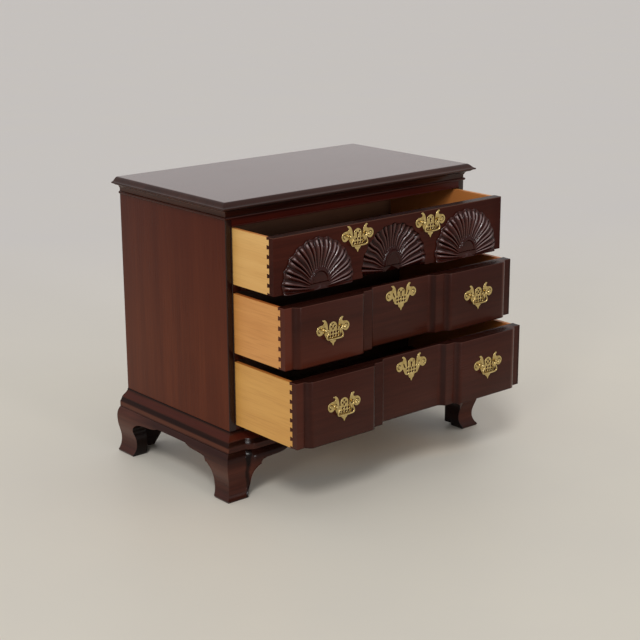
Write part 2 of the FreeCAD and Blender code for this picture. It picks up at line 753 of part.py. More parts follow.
def bail_shape():
    """A bail hanging from its two pins, which lie on the X axis."""
    neck_x = post_half - s.post_head_radius - s.bail_radius - 0.4
    shoulder = -s.post_head_radius - 2
    low = -s.bail_drop
    half = [Vector(neck_x, 0, 0), Vector(neck_x, 0, shoulder),
            Vector(s.bail_half_width, 0, low / 2),
            Vector(s.bail_half_width, 0, low), Vector(0, 0, low - 0.6)]
    arms = []
    for side in (1, -1):
        turned = [Vector(side * point.x, point.y, point.z) for point in half]
        neck = rounded_path(turned[:4][:3] + [turned[2] + Vector(0, 0, low / 6)], 3)
        elbow = rounded_path([turned[2] + Vector(0, 0, low / 6), turned[3], turned[4]],
                             s.bail_corner)
        path = Part.Wire(neck.Edges + elbow.Edges)
        ring = Part.Wire(Part.makeCircle(s.bail_radius, turned[0], Vector(0, 0, 1)))
        arms.append(path.makePipeShell([ring], True, False))
        arms.append(Part.makeSphere(s.bail_radius, turned[0]))
        pin_length = post_half + s.post_head_radius * 0.6 - neck_x
        arms.append(Part.makeCylinder(s.bail_pin_radius, pin_length, turned[0],
                                      Vector(side, 0, 0)))
    middle = Part.makeSphere(s.bail_radius, half[-1])
    return middle.fuse(arms).removeSplitter()


def nut_shape():
    disc = Part.makeCylinder(s.nut_radius, s.nut_thick, Vector(0, 0, 0), Vector(0, 1, 0))
    bore = Part.makeCylinder(s.shank_radius + s.fit_room, s.nut_thick, Vector(0, 0, 0),
                             Vector(0, 1, 0))
    return disc.cut(bore)


bail_solid = bail_shape()


# ---------------------------------------------------------------- the drawers

TAIL_WIDE = 0.34
TAIL_NARROW = 0.27


def tails(height, count):
    """The dovetails on the front end of a drawer side, flared towards the lap."""
    pitch = height / count
    wide, narrow = pitch * TAIL_WIDE, pitch * TAIL_NARROW
    shapes = []
    for number in range(count):
        middle = pitch * (number + 0.5)
        corners = [(s.lap_thick, middle - wide), (s.front_thick, middle - narrow),
                   (s.front_thick, middle + narrow), (s.lap_thick, middle + wide)]
        wire = traced(corners, lambda along, up: Vector(0, along, up))
        shapes.append(Part.Face(wire).extrude(Vector(s.drawer_side_thick, 0, 0)))
    return Part.makeCompound(shapes)


def moved(shape, x, y, up):
    copy = shape.copy()
    copy.translate(Vector(x, y, up))
    return copy


def drawer(name, pull_place, face_out, face_rule, lift_word):
    """One drawer: box, brasses, and the shells on the top one."""
    height = getattr(s, f"{name}_drawer_height")
    height_word = f"{name}_drawer_height"
    opened = f"case_front - {name}_drawer_open"
    level = LEVELS[f"{name}_floor"]
    side_height = height - s.drawer_side_drop
    side_outer = front_half - s.drawer_gap_side
    tail_set = tails(side_height, TAIL_COUNTS[name])
    pull_x = {"block_middle": block_middle, "strip_middle": strip_middle}[pull_place]
    post_up = height / 2 + getattr(s, lift_word) - s.post_drop

    # The front, with its blocking or its sunk shell, its sockets, groove and bores.
    if name == "top":
        blank = Part.makeBox(2 * front_half, s.front_thick, height, Vector(-front_half, 0, 0))
        blank = blank.cut(moved(sunk_shell(), 0, 0, s.shell_rise))
    else:
        blank = blocked_board(front_half, s.front_thick, height)
    sockets = [moved(tail_set, -side_outer, 0, 0),
               moved(tail_set, side_outer - s.drawer_side_thick, 0, 0)]
    spots = [side * pull_x + hand * post_half for side in (1, -1) for hand in (1, -1)]
    bores = [Part.makeCylinder(s.shank_radius + s.shank_room, s.front_thick + face_out + 2,
                               Vector(spot, -face_out - 1, post_up), Vector(0, 1, 0))
             for spot in spots]
    groove_reach = side_outer - s.drawer_side_thick + s.groove_depth
    groove = Part.makeBox(2 * groove_reach, s.groove_depth, s.drawer_bottom_thick,
                          Vector(-groove_reach, s.front_thick - s.groove_depth,
                                 s.drawer_bottom_lift))
    front = blank.cut(sockets + bores + [groove])
    finish(f"{name}_drawer_front", solid(f"{name}_front_worked", front), y=opened, height=level)

    # The sides, dovetailed at the front and grooved for the bottom.
    inner = "case_width / 2 - side_thick - 2 * drawer_gap_side - drawer_side_thick"
    for hand, side in SIDES:
        low_x = f"-({inner} + drawer_side_thick)" if side < 0 else inner
        plank = board(f"{name}_{hand}_plank", (low_x, "front_thick", "0"),
                      ("drawer_side_thick", "drawer_length - front_thick",
                       f"{height_word} - drawer_side_drop"))
        tail_x = -side_outer if side < 0 else side_outer - s.drawer_side_thick
        tailed = fused(f"{name}_{hand}_tailed", plank,
                       solid(f"{name}_{hand}_tails", moved(tail_set, tail_x, 0, 0)))
        groove_x = f"-({inner} + groove_depth)" if side < 0 else inner
        ploughed = board(f"{name}_{hand}_groove",
                         (groove_x, "0", "drawer_bottom_lift"),
                         ("groove_depth", "drawer_length", "drawer_bottom_thick"))
        finish(f"{name}_drawer_side_{hand}", cut(f"{name}_side_{hand}", tailed, ploughed),
               y=opened, height=level)

    finish_board(f"{name}_drawer_back",
                 (f"-({inner})", f"{opened} + drawer_length - drawer_back_thick",
                  f"{level} + drawer_bottom_lift + drawer_bottom_thick"),
                 (f"2 * ({inner})", "drawer_back_thick",
                  f"{height_word} - drawer_back_drop - drawer_bottom_lift - drawer_bottom_thick"))
    finish_board(f"{name}_drawer_bottom",
                 (f"-({inner} + groove_depth)", f"{opened} + front_thick - groove_depth",
                  f"{level} + drawer_bottom_lift"),
                 (f"2 * ({inner} + groove_depth)",
                  "drawer_length - front_thick + groove_depth", "drawer_bottom_thick"))

    # The brasses: plate, bail, posts and nuts of each pull.
    ring_rule = f"{level} + {height_word} / 2 + {lift_word}"
    for hand, side in SIDES:
        pull_rule = PLAN[pull_place] if side > 0 else f"-({PLAN[pull_place]})"
        finish(f"{name}_pull_plate_{hand}", solid(f"{name}_plate_{hand}_cast", pull_plate),
               x=pull_rule, y=f"{opened} - {face_rule}", height=ring_rule)
        finish(f"{name}_bail_{hand}", solid(f"{name}_bail_{hand}_bent", bail_solid),
               x=pull_rule, y=f"{opened} - {face_rule} - plate_thick - post_reach",
               height=ring_rule + " - post_drop")
    shank = face_out + s.front_thick + s.nut_thick + 1
    posts = Part.makeCompound([moved(post(shank), spot, -face_out, post_up) for spot in spots])
    finish(f"{name}_pull_posts", solid(f"{name}_posts_turned", posts), y=opened, height=level)
    nuts = Part.makeCompound([moved(nut_shape(), spot, s.front_thick, post_up) for spot in spots])
    finish(f"{name}_pull_nuts", solid(f"{name}_nuts_turned", nuts), y=opened, height=level)

    if name == "top":
        for hand, side in SIDES:
            shell_rule = PLAN["shell_middle"] if side > 0 else f"-({PLAN['shell_middle']})"
            finish(f"shell_{hand}", solid(f"shell_{hand}_carved", raised_shell(s.shell_rise)),
                   x=shell_rule, y=opened, height=f"{level} + shell_rise")
    else:
        finish(f"{name}_escutcheon", solid(f"{name}_escutcheon_cast", escutcheon),
               y=f"{opened} + recess_depth", height=f"{level} + {height_word} - escutcheon_drop")


drawer("top", "strip_middle", 0, "0", "top_plate_lift")
drawer("middle", "block_middle", s.block_rise, "block_rise", "plate_lift")
drawer("bottom", "block_middle", s.block_rise, "block_rise", "plate_lift")


# ---------------------------------------------------------------- check and write

doc.recompute()
for item in doc.Objects:
    if "Invalid" in item.State or "Error" in item.State:
        raise RuntimeError(f"{item.Name} failed: {item.State}")
for piece in PIECES:
    if piece.Shape.isNull() or not piece.Shape.isValid():
        raise RuntimeError(f"{piece.Label} has no valid shape")
    if not piece.Shape.Solids:
        raise RuntimeError(f"{piece.Label} has no solid")

os.makedirs("parts", exist_ok=True)
for piece in PIECES:
    piece.Shape.exportStep(os.path.join("parts", piece.Label + ".step"))
    print(piece.Label, len(piece.Shape.Solids), round(piece.Shape.Volume / 1000, 2))
print(len(PIECES), "sub-parts")
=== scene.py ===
import bpy
import functools
import math
import numpy as np
from mathutils import Matrix, Vector, geometry, kdtree


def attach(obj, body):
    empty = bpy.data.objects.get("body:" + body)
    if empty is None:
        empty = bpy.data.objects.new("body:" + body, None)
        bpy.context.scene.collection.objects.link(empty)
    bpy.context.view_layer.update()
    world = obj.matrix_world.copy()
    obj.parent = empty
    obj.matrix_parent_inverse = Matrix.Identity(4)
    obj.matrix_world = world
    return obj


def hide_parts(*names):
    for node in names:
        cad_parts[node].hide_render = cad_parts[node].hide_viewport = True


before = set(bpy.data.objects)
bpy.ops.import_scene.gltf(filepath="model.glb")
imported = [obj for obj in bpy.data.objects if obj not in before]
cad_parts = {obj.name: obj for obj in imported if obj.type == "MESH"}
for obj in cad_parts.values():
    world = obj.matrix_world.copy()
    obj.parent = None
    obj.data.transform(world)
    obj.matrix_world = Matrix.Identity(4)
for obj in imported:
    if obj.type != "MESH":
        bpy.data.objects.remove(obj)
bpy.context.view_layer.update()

# -------------------- case sides
# Two flat mahogany sides with a small bead along each front edge. Their veneer runs
# upwards in a ribbon stripe, stained red-brown and lacquered to a satin gloss.


class Lead:
    """One wire in a finish. Sums on it add their own nodes."""

    def __init__(self, tree, socket):
        self.tree = tree
        self.socket = socket

    def node(self, kind, settings=None, inputs=None, out=0):
        """Any other node: its type, its settings, and the values or wires of its sockets."""
        made = self.tree.nodes.new("ShaderNode" + kind)
        for word, value in (settings or {}).items():
            setattr(made, word, value)
        for word, value in (inputs or {}).items():
            if isinstance(value, Lead):
                self.tree.links.new(value.socket, made.inputs[word])
            else:
                made.inputs[word].default_value = value
        return Lead(self.tree, made.outputs[out])

    def math(self, operation, *values):
        return self.node("Math", {"operation": operation}, dict(enumerate(values)))

    def __add__(self, other):
        return self.math("ADD", self, other)

    def __sub__(self, other):
        return self.math("SUBTRACT", self, other)

    def __rsub__(self, other):
        return self.math("SUBTRACT", other, self)

    def __mul__(self, other):
        return self.math("MULTIPLY", self, other)

    __radd__ = __add__
    __rmul__ = __mul__

    def part(self, axis):
        """One of the three numbers that this wire carries."""
        return self.node("SeparateXYZ", {}, {0: self}, out="XYZ".index(axis))

    def mm(self, axis):
        """How far along an axis this place lies, in mm."""
        return self.part(axis) * 1000

    def size(self):
        """The same number without its sign."""
        return self.math("ABSOLUTE", self)

    def noise(self, size, detail=3, rough=.55):
        """Noise whose patches are about 'size' metres wide, from 0 to 1."""
        return self.node("TexNoise", {}, {"Vector": self, "Scale": .5 / size, "Detail": detail,
                                          "Roughness": rough})

    def between(self, low, high):
        """0 at 'low' and short of it, 1 at 'high' and past it."""
        return self.node("MapRange", {}, {"Value": self, "From Min": low, "From Max": high})

    def band(self, low, high, soft=1.5):
        """1 between 'low' and 'high', fading out over 'soft' on both sides."""
        return self.between(low - soft, low + soft) * self.between(high + soft, high - soft)

    def tint(self, low, high):
        """A colour from 'low' to 'high' as this wire goes from 0 to 1."""
        low, high = (tone if isinstance(tone, Lead) else (*tone, 1) for tone in (low, high))
        return self.node("Mix", {"data_type": "RGBA"}, {0: self, 6: low, 7: high}, out=2)


class Finish:
    """A finish being mixed: its material, its shader and the place on the piece."""

    def __init__(self, name):
        self.material = bpy.data.materials.new(name)
        self.material.use_nodes = True
        tree = self.material.node_tree
        self.shader = tree.nodes["Principled BSDF"]
        self.place = Lead(tree, tree.nodes.new("ShaderNodeTexCoord").outputs["Object"])

    def set(self, **inputs):
        """Give the shader its values and wires, and hand over the finished material."""
        for word, value in inputs.items():
            socket = self.shader.inputs[word.replace("_", " ")]
            if isinstance(value, Lead):
                value.tree.links.new(value.socket, socket)
            else:
                socket.default_value = value
        return self.material

    def bumped(self, height, depth):
        return self.place.node("Bump", {}, {"Height": height, "Distance": depth, "Strength": 1.0})


def grain_run(place, along, offset, pull=.05):
    """The place squeezed along the grain, so that noise on it comes out as long streaks."""
    moved = place.node("VectorMath", {"operation": "ADD"}, {0: place, 1: offset})
    squeeze = [pull if axis == along else 1.0 for axis in "xyz"]
    return place.node("VectorMath", {"operation": "MULTIPLY"}, {0: moved, 1: squeeze})


def mahogany(name, along, deep, body, light, offset=(0, 0, 0), gloss=.18, stripe=.022, shine=.1,
             figure=1.0, change=None):
    """Stained mahogany: ribbon stripe, fine streaks and open pores, under satin lacquer."""
    finish = Finish("mahogany_" + name)
    run = grain_run(finish.place, along, offset)
    ribbon = run.noise(stripe, 2, .5).between(.3, .72)
    streak = run.noise(.0045, 4, .62).between(.3, .72)
    fine = grain_run(finish.place, along, offset, .025).noise(.0011, 2, .5)
    pores = fine.between(.62, .72)
    cloud = finish.place.noise(.16, 2).between(.3, .7)
    tone = (ribbon * .45 + streak * .33 + cloud * .22).tint(deep, body)
    tone = (streak * ribbon * (.5 * figure)).tint(tone, light)
    tone = (pores * (.4 * figure)).tint(tone, tuple(part * .35 for part in deep))
    coat = .04
    if change:
        tone, coat = change(finish.place, tone)
    return finish.set(
        Base_Color=tone, Roughness=gloss + fine * .06 + cloud * .04, Coat_Weight=coat,
        Coat_Roughness=.12, Specular_IOR_Level=shine,
        Normal=finish.bumped(streak * .3 - pores, .00008))


def smooth_faces(mesh, material, sharp):
    """Round faces look round, and edges over 'sharp' degrees stay crisp."""
    mesh.polygons.foreach_set("use_smooth", [True] * len(mesh.polygons))
    mesh.set_sharp_from_angle(angle=math.radians(sharp))
    mesh.materials.append(material)


def set_in_place(name, mesh, body, node, place=(0, 0, 0)):
    """Fix a mesh to the body that it moves with, in the place of a plain solid."""
    piece = bpy.data.objects.new(name, mesh)
    piece.location = [part / 1000 for part in place]
    bpy.context.scene.collection.objects.link(piece)
    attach(piece, body)
    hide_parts(node)
    return piece


def make_piece(name, shape, material, body, node, origin, sharp=34):
    """A piece from (points in mm counted from 'origin', faces)."""
    points, faces = shape
    mesh = bpy.data.meshes.new(name)
    mesh.from_pydata(((np.array(points, float) + origin) / 1000).tolist(), [], faces)
    mesh.validate()
    smooth_faces(mesh, material, sharp)
    return set_in_place(name, mesh, body, node)


CASE_FRONT = -104.25
CASE_HALF, CASE_DEPTH = 431.5, 491.0
OPENING_HALF = 411.5
SKIRT_TOP, OPENING_LOW, OPENING_TOP, CORNICE_LOW, TOP_LOW = 134.0, 197.2, 734.1, 753.7, 783.7
CORNICE_INLET = 5.0
HANDS = {"left": -1, "right": 1}


def case_piece(name, shape, material, node, low=0):
    """A mahogany piece of the case, counted from the case's front plane and the height 'low'."""
    make_piece(name, shape, material, "case", node, (0, CASE_FRONT, low))


def numbered(lines):
    """The points of several lines in one list, and the numbers of each line's points."""
    points, rows = [], []
    for line in lines:
        rows.append(list(range(len(points), len(points) + len(line))))
        points += line
    return points, rows


def faces_of(rows):
    """Quads over rows of point numbers, leaving out what has no area."""
    faces = []
    for low, high in zip(rows, rows[1:]):
        for number in range(len(low) - 1):
            ring = [low[number], low[number + 1], high[number + 1], high[number]]
            kept = [spot for place, spot in enumerate(ring) if spot != ring[place - 1]]
            if len(set(kept)) >= 3:
                faces.append(kept)
    return faces


def outward(points, faces):
    """The same closed mesh with its outside out."""
    spots = np.array(points, float)
    volume = 0.0
    for face in faces:
        for second, third in zip(face[1:], face[2:]):
            volume += np.dot(spots[face[0]], np.cross(spots[second], spots[third]))
    return points, faces if volume > 0 else [face[::-1] for face in faces]


def welded(points, faces):
    """The same mesh with equal points made one and faces without area left out."""
    numbers, places, kept = {}, [], []
    number_of = []
    for point in points:
        key = tuple(round(part, 2) for part in point)
        if key not in numbers:
            numbers[key] = len(places)
            places.append(point)
        number_of.append(numbers[key])
    for face in faces:
        ring = [number_of[spot] for spot in face]
        ring = [spot for place, spot in enumerate(ring) if spot != ring[place - 1]]
        if len(set(ring)) != len(ring) or len(ring) < 3:
            continue
        spots = [np.array(places[spot]) for spot in ring]
        area = sum(np.cross(b - spots[0], c - spots[0]) for b, c in zip(spots[1:], spots[2:]))
        if np.linalg.norm(area) > .002:
            kept.append(ring)
    return places, kept


def stacked(rings):
    """A solid through rings of points, closed at both ends."""
    points, rows = numbered(rings)
    faces = faces_of([row + row[:1] for row in rows]) + [rows[0][::-1], rows[-1]]
    return outward(points, faces)


def round_bead(across, radius=1.6, quirk=1.2):
    """A bead and its quirk, from the flat to the corner it runs along: (across, set back)."""
    inner = across + 2 * radius
    line = [(inner + quirk, 0), (inner + quirk * .7, quirk), (inner, quirk)]
    for step in range(9):
        turn = math.pi * step / 8
        line.append((across + radius + radius * math.cos(turn), -radius * math.sin(turn)))
    return line


def side_shade(place, tone):
    """The side is darker and redder towards its top, and its front edge is painted darkest as
    painted shade.
    """
    # Painted shade: the front face along the side's edge is painted nearly black.
    edge = place.mm("Y").between(-100.5, -102.5)
    tone = (place.mm("Z").between(360, 760) * .6).tint(tone, (.048, .0050, .0028))
    tone = (place.mm("Y").between(385.5, 386.3) * .8).tint(tone, (.024, .0070, .0040))
    return edge.tint(tone, (.012, .0022, .0014)), .04 + edge * .3


side_finish = mahogany(
    "side", "z", (.064, .0125, .0045), (.112, .0235, .0078), (.150, .038, .013), gloss=.24,
    stripe=.028, shine=.16, figure=.7, change=side_shade)
front_corner = [(CASE_HALF, 1.0), (CASE_HALF - .3, .3), (CASE_HALF - 1, 0)]
bead = round_bead(OPENING_HALF)
rear_corners = [(OPENING_HALF, CASE_DEPTH), (CASE_HALF, CASE_DEPTH)]
beaded = front_corner + bead + rear_corners
flush = front_corner + [(x, 0) for x, _ in bead] + rear_corners
rebated = [(min(x, CASE_HALF - CORNICE_INLET), max(y, CORNICE_INLET)) for x, y in flush]
levels = ((flush, SKIRT_TOP), (flush, OPENING_LOW), (beaded, OPENING_LOW), (beaded, OPENING_TOP),
          (flush, OPENING_TOP), (flush, CORNICE_LOW), (rebated, CORNICE_LOW), (rebated, TOP_LOW))
for hand, side in HANDS.items():
    rings = [[(side * x, y, up) for x, y in outline] for outline, up in levels]
    case_piece(f"case_side_{hand}_beaded", welded(*stacked(rings)), side_finish,
               "case_side_" + hand)

# -------------------- inside of the case
# Plain secondary wood that nobody sees: back panel, bottom, drawer runners and dust
# panels, glued and screwed between the sides, left unstained.


def plain_wood(name, along, pale, body, dark, offset=(0, 0, 0), gloss=.5, ring=.010, shade_inside=None):
    """Unstained close-grained wood with soft growth rings; faces nearer the middle than the given
    mm are painted deeper orange, as painted shade and bounce light.
    """
    finish = Finish(name)
    rings = grain_run(finish.place, along, offset, .06).noise(ring, 3, .6).between(.32, .7)
    fibre = grain_run(finish.place, along, offset, .03).noise(.0016, 3, .6)
    cloud = finish.place.noise(.12, 2).between(.3, .7)
    tone = (rings * .6 + cloud * .4).tint(pale, body)
    tone = (fibre.between(.5, .75) * .5).tint(tone, dark)
    if shade_inside:
        # Painted shade and bounce light: the inner faces are tinted a deeper, darker orange.
        deep = finish.place.mm("X").size().between(shade_inside, shade_inside - .5)
        inner_bounce_tone = tuple(part * share for part, share in zip(body, (.77, .37, .24)))
        tone = (deep * .75).tint(tone, inner_bounce_tone)
    return finish.set(Base_Color=tone, Roughness=gloss + fibre * .12,
                      Normal=finish.bumped(fibre + rings * .3, .00006))


def dress(node, material, width=.0007):
    """Finish a board whose shape is already right, its edges eased a little."""
    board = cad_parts[node]
    board.data.materials.clear()
    board.data.materials.append(material)
    weld = board.modifiers.new("weld", "WELD")
    weld.merge_threshold = .00001
    ease = board.modifiers.new("eased_edges", "BEVEL")
    ease.width = width
    ease.segments = 3
    ease.limit_method = "ANGLE"
    ease.angle_limit = math.radians(38)
    ease.use_clamp_overlap = True
    board.modifiers.new("even_shading", "WEIGHTED_NORMAL").keep_sharp = True


inside_finish = plain_wood(
    "secondary_wood", "x", (.15, .075, .04), (.10, .048, .025), (.06, .028, .014))
for node in ("back_panel", "case_bottom", "dust_panels"):
    dress(node, inside_finish)
dress("drawer_runners", plain_wood(
    "runner_wood", "y", (.12, .06, .032), (.08, .038, .02), (.05, .022, .012)))

# -------------------- front rails
# A flat mahogany top rail and three rails whose front edges follow the blocking. They are
# dovetailed and housed into the sides, face grain running across.

BLOCK_RISE, RECESS = 15.0, 15.5
BLOCK_OUTER, BLOCK_INNER, HOLLOW_HALF, RETURN_WIDTH = 385.0, 167.0, 117.0, 20.0
RAIL_DEPTH = 62.0


def mirrored(line):
    """The left half of a line, from its right half."""
    return [(-x, y) for x, y in line[::-1]]


def return_at(t):
    """Along a return from the flat: a sharp corner there, then a soft run-in; both 0 to 1."""
    near, far = 3 * t * (1 - t) ** 2, 3 * t * t * (1 - t)
    return near * .2 + far * .5 + t ** 3, near * .45 + far + t ** 3


def blocked_line(out, end, steps=12):
    """The blocked front edge from left to right, standing 'out' from the case, in mm.

    The corners creep sideways as the line moves out: the hollow ones more than the others.
    """
    flat, block, recess = -out, -out - BLOCK_RISE, -out + RECESS
    creep, hollow_creep = .2 * out, .65 * out
    half = [(HOLLOW_HALF - RETURN_WIDTH - hollow_creep, recess), (HOLLOW_HALF - creep, flat),
            (BLOCK_INNER - RETURN_WIDTH - hollow_creep, flat), (BLOCK_INNER - creep, block),
            (BLOCK_OUTER - RETURN_WIDTH + creep, block), (BLOCK_OUTER + hollow_creep, flat),
            (end, flat)]
    corners = mirrored(half) + half
    line = [corners[0]]
    for (x_from, y_from), (x_to, y_to) in zip(corners, corners[1:]):
        if abs(y_from - y_to) < .001:
            line.append((x_to, y_to))
            continue
        leaves = abs(y_from - flat) < .001
        for step in range(1, steps + 1):
            t = step / steps
            along, rise = return_at(t) if leaves else (1 - part for part in return_at(1 - t))
            line.append((x_from + (x_to - x_from) * along, y_from + (y_to - y_from) * rise))
    return line


def eased_profile(height, ease):
    """The front edge of a board in section: (set back, height), its two arrises rounded."""
    low = [(ease, 0), (ease * .3, ease * .3), (0, ease)]
    return low + [(back, height - up) for back, up in low[::-1]]


def swept(plans):
    """A closed run of moulding: one plan line for each point of its closed profile."""
    points, rows = numbered(plans)
    ends = [[row[0] for row in rows][::-1], [row[-1] for row in rows]]
    return outward(points, faces_of(rows + rows[:1]) + ends)


rail_finish = mahogany(
    "rail", "x", (.024, .0048, .0026), (.050, .0096, .0050), (.075, .017, .009), (0, .3, .7),
    gloss=.24, figure=.6)
for node, low, thick in (("bottom_rail", 182.5, 14.7), ("lower_rail", 375.5, 21.0),
                         ("upper_rail", 561.2, 21.0)):
    line = blocked_line(0, OPENING_HALF)
    plans = [[(x, y + back, up) for x, y in line] for back, up in eased_profile(thick, .8)]
    plans += [[(x, RAIL_DEPTH, up) for x, _ in line] for up in (thick, 0)]
    case_piece(node + "_blocked", swept(plans), rail_finish, node, low)
top_rail_finish = mahogany(
    "top_rail", "x", (.024, .0024, .0013), (.052, .0058, .0028), (.075, .011, .005), (0, .1, .2),
    gloss=.24, shine=.12, figure=.6)
rail_edge = [(y, up + OPENING_TOP) for up, y in round_bead(0)][::-1]
rail_edge += [(0, CORNICE_LOW), (CORNICE_INLET, CORNICE_LOW), (CORNICE_INLET, TOP_LOW),
              (20, TOP_LOW), (20, OPENING_TOP)]
case_piece("top_rail_beaded",
           swept([[(x, y, up) for x in (-OPENING_HALF, OPENING_HALF)] for y, up in rail_edge]),
           top_rail_finish, "top_rail")

# -------------------- top board
# The moulded top: one wide board, a thumbnail worked on the front and both ends, over a
# flat underside. It carries the brightest polish on the chest.

TOP_BACK = CASE_DEPTH + 1.7
MITRE_EASE = 1.2


def curve_points(start, *handles, count=8):
    """Points along a Bezier curve after its start."""
    points = []
    for step in range(1, count + 1):
        t = step / count
        row = [start, *handles]
        while len(row) > 1:
            row = [tuple(a + (b - a) * t for a, b in zip(p, q)) for p, q in zip(row, row[1:])]
        points.append(row[0])
    return points


def corner_line(out, first, last):
    """Round the eased corner of a moulding that stands 'out', from one turn to another."""
    turns = [math.radians(turn) for turn in range(first, last + 1, 15)]
    return [(CASE_HALF + out - MITRE_EASE * (1 - math.sin(turn)),
             MITRE_EASE * (1 - math.cos(turn)) - out) for turn in turns]


def polished_flat(place, tone):
    """The flat of the top has the deepest lacquer and is painted paler; its moulded edge keeps the
    darker tone as painted shade.
    """
    # Painted shade: only the flat is tinted paler, the moulded edge stays dark.
    flat = place.mm("Z").between(801.4, 802.0)
    return (flat * .7).tint(tone, (.080, .021, .015)), .12 + flat * .80


top_profile = [(-6, 0), (16.5, 0), (18, .3), (25.2, 2.2), (25.5, 2.9), (25.5, 5.2), (25.1, 5.9)]
top_profile += curve_points((24.4, 6.2), (17.5, 7), (15.5, 15.6), (6.3, 18.5), count=12)
top_profile += [(5.3, 18.5), (2.5, 18.5)]
lines = []
for out, up in top_profile:
    half = corner_line(out, 0, 90) + [(CASE_HALF + out, TOP_BACK)]
    lines.append([(x, y, up) for x, y in mirrored(half) + half])
points, rows = numbered(lines)
back_edge = [row[-1] for row in rows] + [row[0] for row in rows[::-1]]
board = outward(points, faces_of(rows) + [rows[-1], rows[0][::-1], back_edge])
top_finish = mahogany(
    "top", "x", (.018, .006, .0045), (.042, .014, .0095), (.075, .027, .017), (.2, .5, 0),
    gloss=.13, stripe=.03, shine=.16, change=polished_flat)
make_piece("top_board_moulded", welded(*board), top_finish, "case", "top_board",
           (0, CASE_FRONT, TOP_LOW))

# -------------------- cornice
# A cove and bead moulding under the top, let into the case and mitred at the front
# corners, glued and pinned in three lengths.


def side_lengths(name, profile, material, low):
    """The two side lengths of a moulding, from the front mitre straight to the back."""
    for hand, side in HANDS.items():
        plans = []
        for out, up in profile:
            line = corner_line(out, 45, 90) + [(CASE_HALF + out, CASE_DEPTH)]
            plans.append([(side * x, y, up) for x, y in line])
        case_piece(f"{name}_{hand}_run", swept(plans), material, f"{name}_{hand}", low)


def cornice_shade(place, tone):
    """The cove's lower lip is painted a dark red as painted shade."""
    shaded_lip = place.mm("Z").band(752, 759.5, 1)
    return (shaded_lip * .6).tint(tone, (.036, .0048, .0025)), .12 - shaded_lip * .06


cornice_profile = [(-5, 0), (0, 0)] + curve_points((0, 0), (5.85, 0), (5.85, 8), (0, 8))
cornice_profile += [(0, 16.6), (.3, 17.1), (1.6, 17.3), (1.9, 17.8), (1.9, 19.4), (2.4, 19.9)]
cornice_profile += curve_points((2.4, 19.9), (3.6, 24.4), (8, 26.8), (14.6, 27.2))
cornice_profile += [(15.1, 27.7), (15.1, 28.7), (17.6, 29.0), (18, 29.4), (18, 30), (-5, 30)]
# The front length gets darker tones than the side lengths: painted shade for the weaker light on
# the front.
shaded_front_cornice_finish = mahogany(
    "cornice", "x", (.010, .0022, .0013), (.026, .0056, .0032), (.050, .012, .006), (0, .2, .4),
    shine=.12, change=cornice_shade)
cornice_side_finish = mahogany(
    "cornice_side", "y", (.030, .0075, .0040), (.082, .0230, .0115), (.120, .038, .019),
    (0, .2, .4), shine=.12, change=cornice_shade)
plans = []
for out, up in cornice_profile:
    half = corner_line(out, 0, 45)
    plans.append([(x, y, up) for x, y in mirrored(half) + half])
case_piece("cornice_front_run", swept(plans), shaded_front_cornice_finish, "cornice_front", CORNICE_LOW)
side_lengths("cornice", cornice_profile, cornice_side_finish, CORNICE_LOW)

# -------------------- base moulding
# The moulding that joins the case to its feet: a flat face, a step and a cyma. The front
# length is shaped to the blocking and mitred to the two side lengths.


def moulding_shade(place, tone):
    """Painted shade in the step and along the joint with the case; the flat of the side lengths is
    painted paler as a painted highlight, and a band over the cyma is tinted deeper red.
    """
    up = place.mm("Z")
    end = place.mm("X").size().between(456, 459)
    # Painted shade: the step and the joint under the case are darkened.
    dark = up.band(150, 161) * .75 + up.between(176, 180) * .9
    # Painted highlight: the flat on the side lengths is painted paler.
    tone = (up.band(138, 148.5) * end * .5).tint(tone, (.120, .038, .020))
    tone = (up.band(163, 174) * .6).tint(tone, (.060, .0088, .0044))
    return dark.tint(tone, (.005, .0016, .0011)), .06 - dark * .05


MOULDING_HEIGHT = 48.5
base_profile = [(28.2, 0), (28.8, .6), (28.8, 15.4), (28.5, 16.1), (26.6, 18.1), (26.4, 18.5),
                (22.6, 24.5)]
base_profile += curve_points((22.6, 24.5), (20.8, 34), (3, 35.5), (1, MOULDING_HEIGHT), count=12)
# The front length gets darker tones than the side lengths: painted shade for the weaker light on
# the front.
shaded_front_base_finish = mahogany(
    "base", "x", (.016, .0040, .0025), (.040, .0098, .0056), (.070, .019, .010), (0, .6, .1),
    change=moulding_shade)
base_side_finish = mahogany(
    "base_side", "y", (.022, .0055, .0034), (.064, .0150, .0078), (.105, .028, .014), (.4, 0, .1),
    change=moulding_shade)
plans = []
for out, up in base_profile:
    corner = corner_line(out, 15, 45)
    line = mirrored(corner) + blocked_line(out, CASE_HALF + out - MITRE_EASE) + corner
    plans.append([(x, y, up) for x, y in line])
for up in (MOULDING_HEIGHT, 0):
    plans.append([(max(-CASE_HALF, min(CASE_HALF, x)), 0, up) for x, _, _ in plans[0]])
case_piece("base_moulding_front_run", swept(plans), shaded_front_base_finish, "base_moulding_front", SKIRT_TOP)
side_lengths("base_moulding", base_profile + [(0, MOULDING_HEIGHT), (0, 0)], base_side_finish,
             SKIRT_TOP)

# -------------------- bracket feet
# Ogee skirts sawn from thick mahogany, one at the front and one on each side. Each is cut
# to scrolled brackets, shaped to an ogee in section and mitred at the front feet.


def sawn_scroll(start, *bends):
    """The sawn inner outline of a foot and its bracket, from the floor up, through its bends."""
    line = [start]
    for bend in bends:
        line += curve_points(line[-1], *bend, count=7)
    return line


def inside_loop(spot, loop):
    """Whether a spot lies inside a closed line."""
    x, y = spot
    hit = False
    for (x_a, y_a), (x_b, y_b) in zip(loop, loop[1:] + loop[:1]):
        if (y_a > y) != (y_b > y) and x < (x_b - x_a) * (y - y_a) / (y_b - y_a) + x_a:
            hit = not hit
    return hit


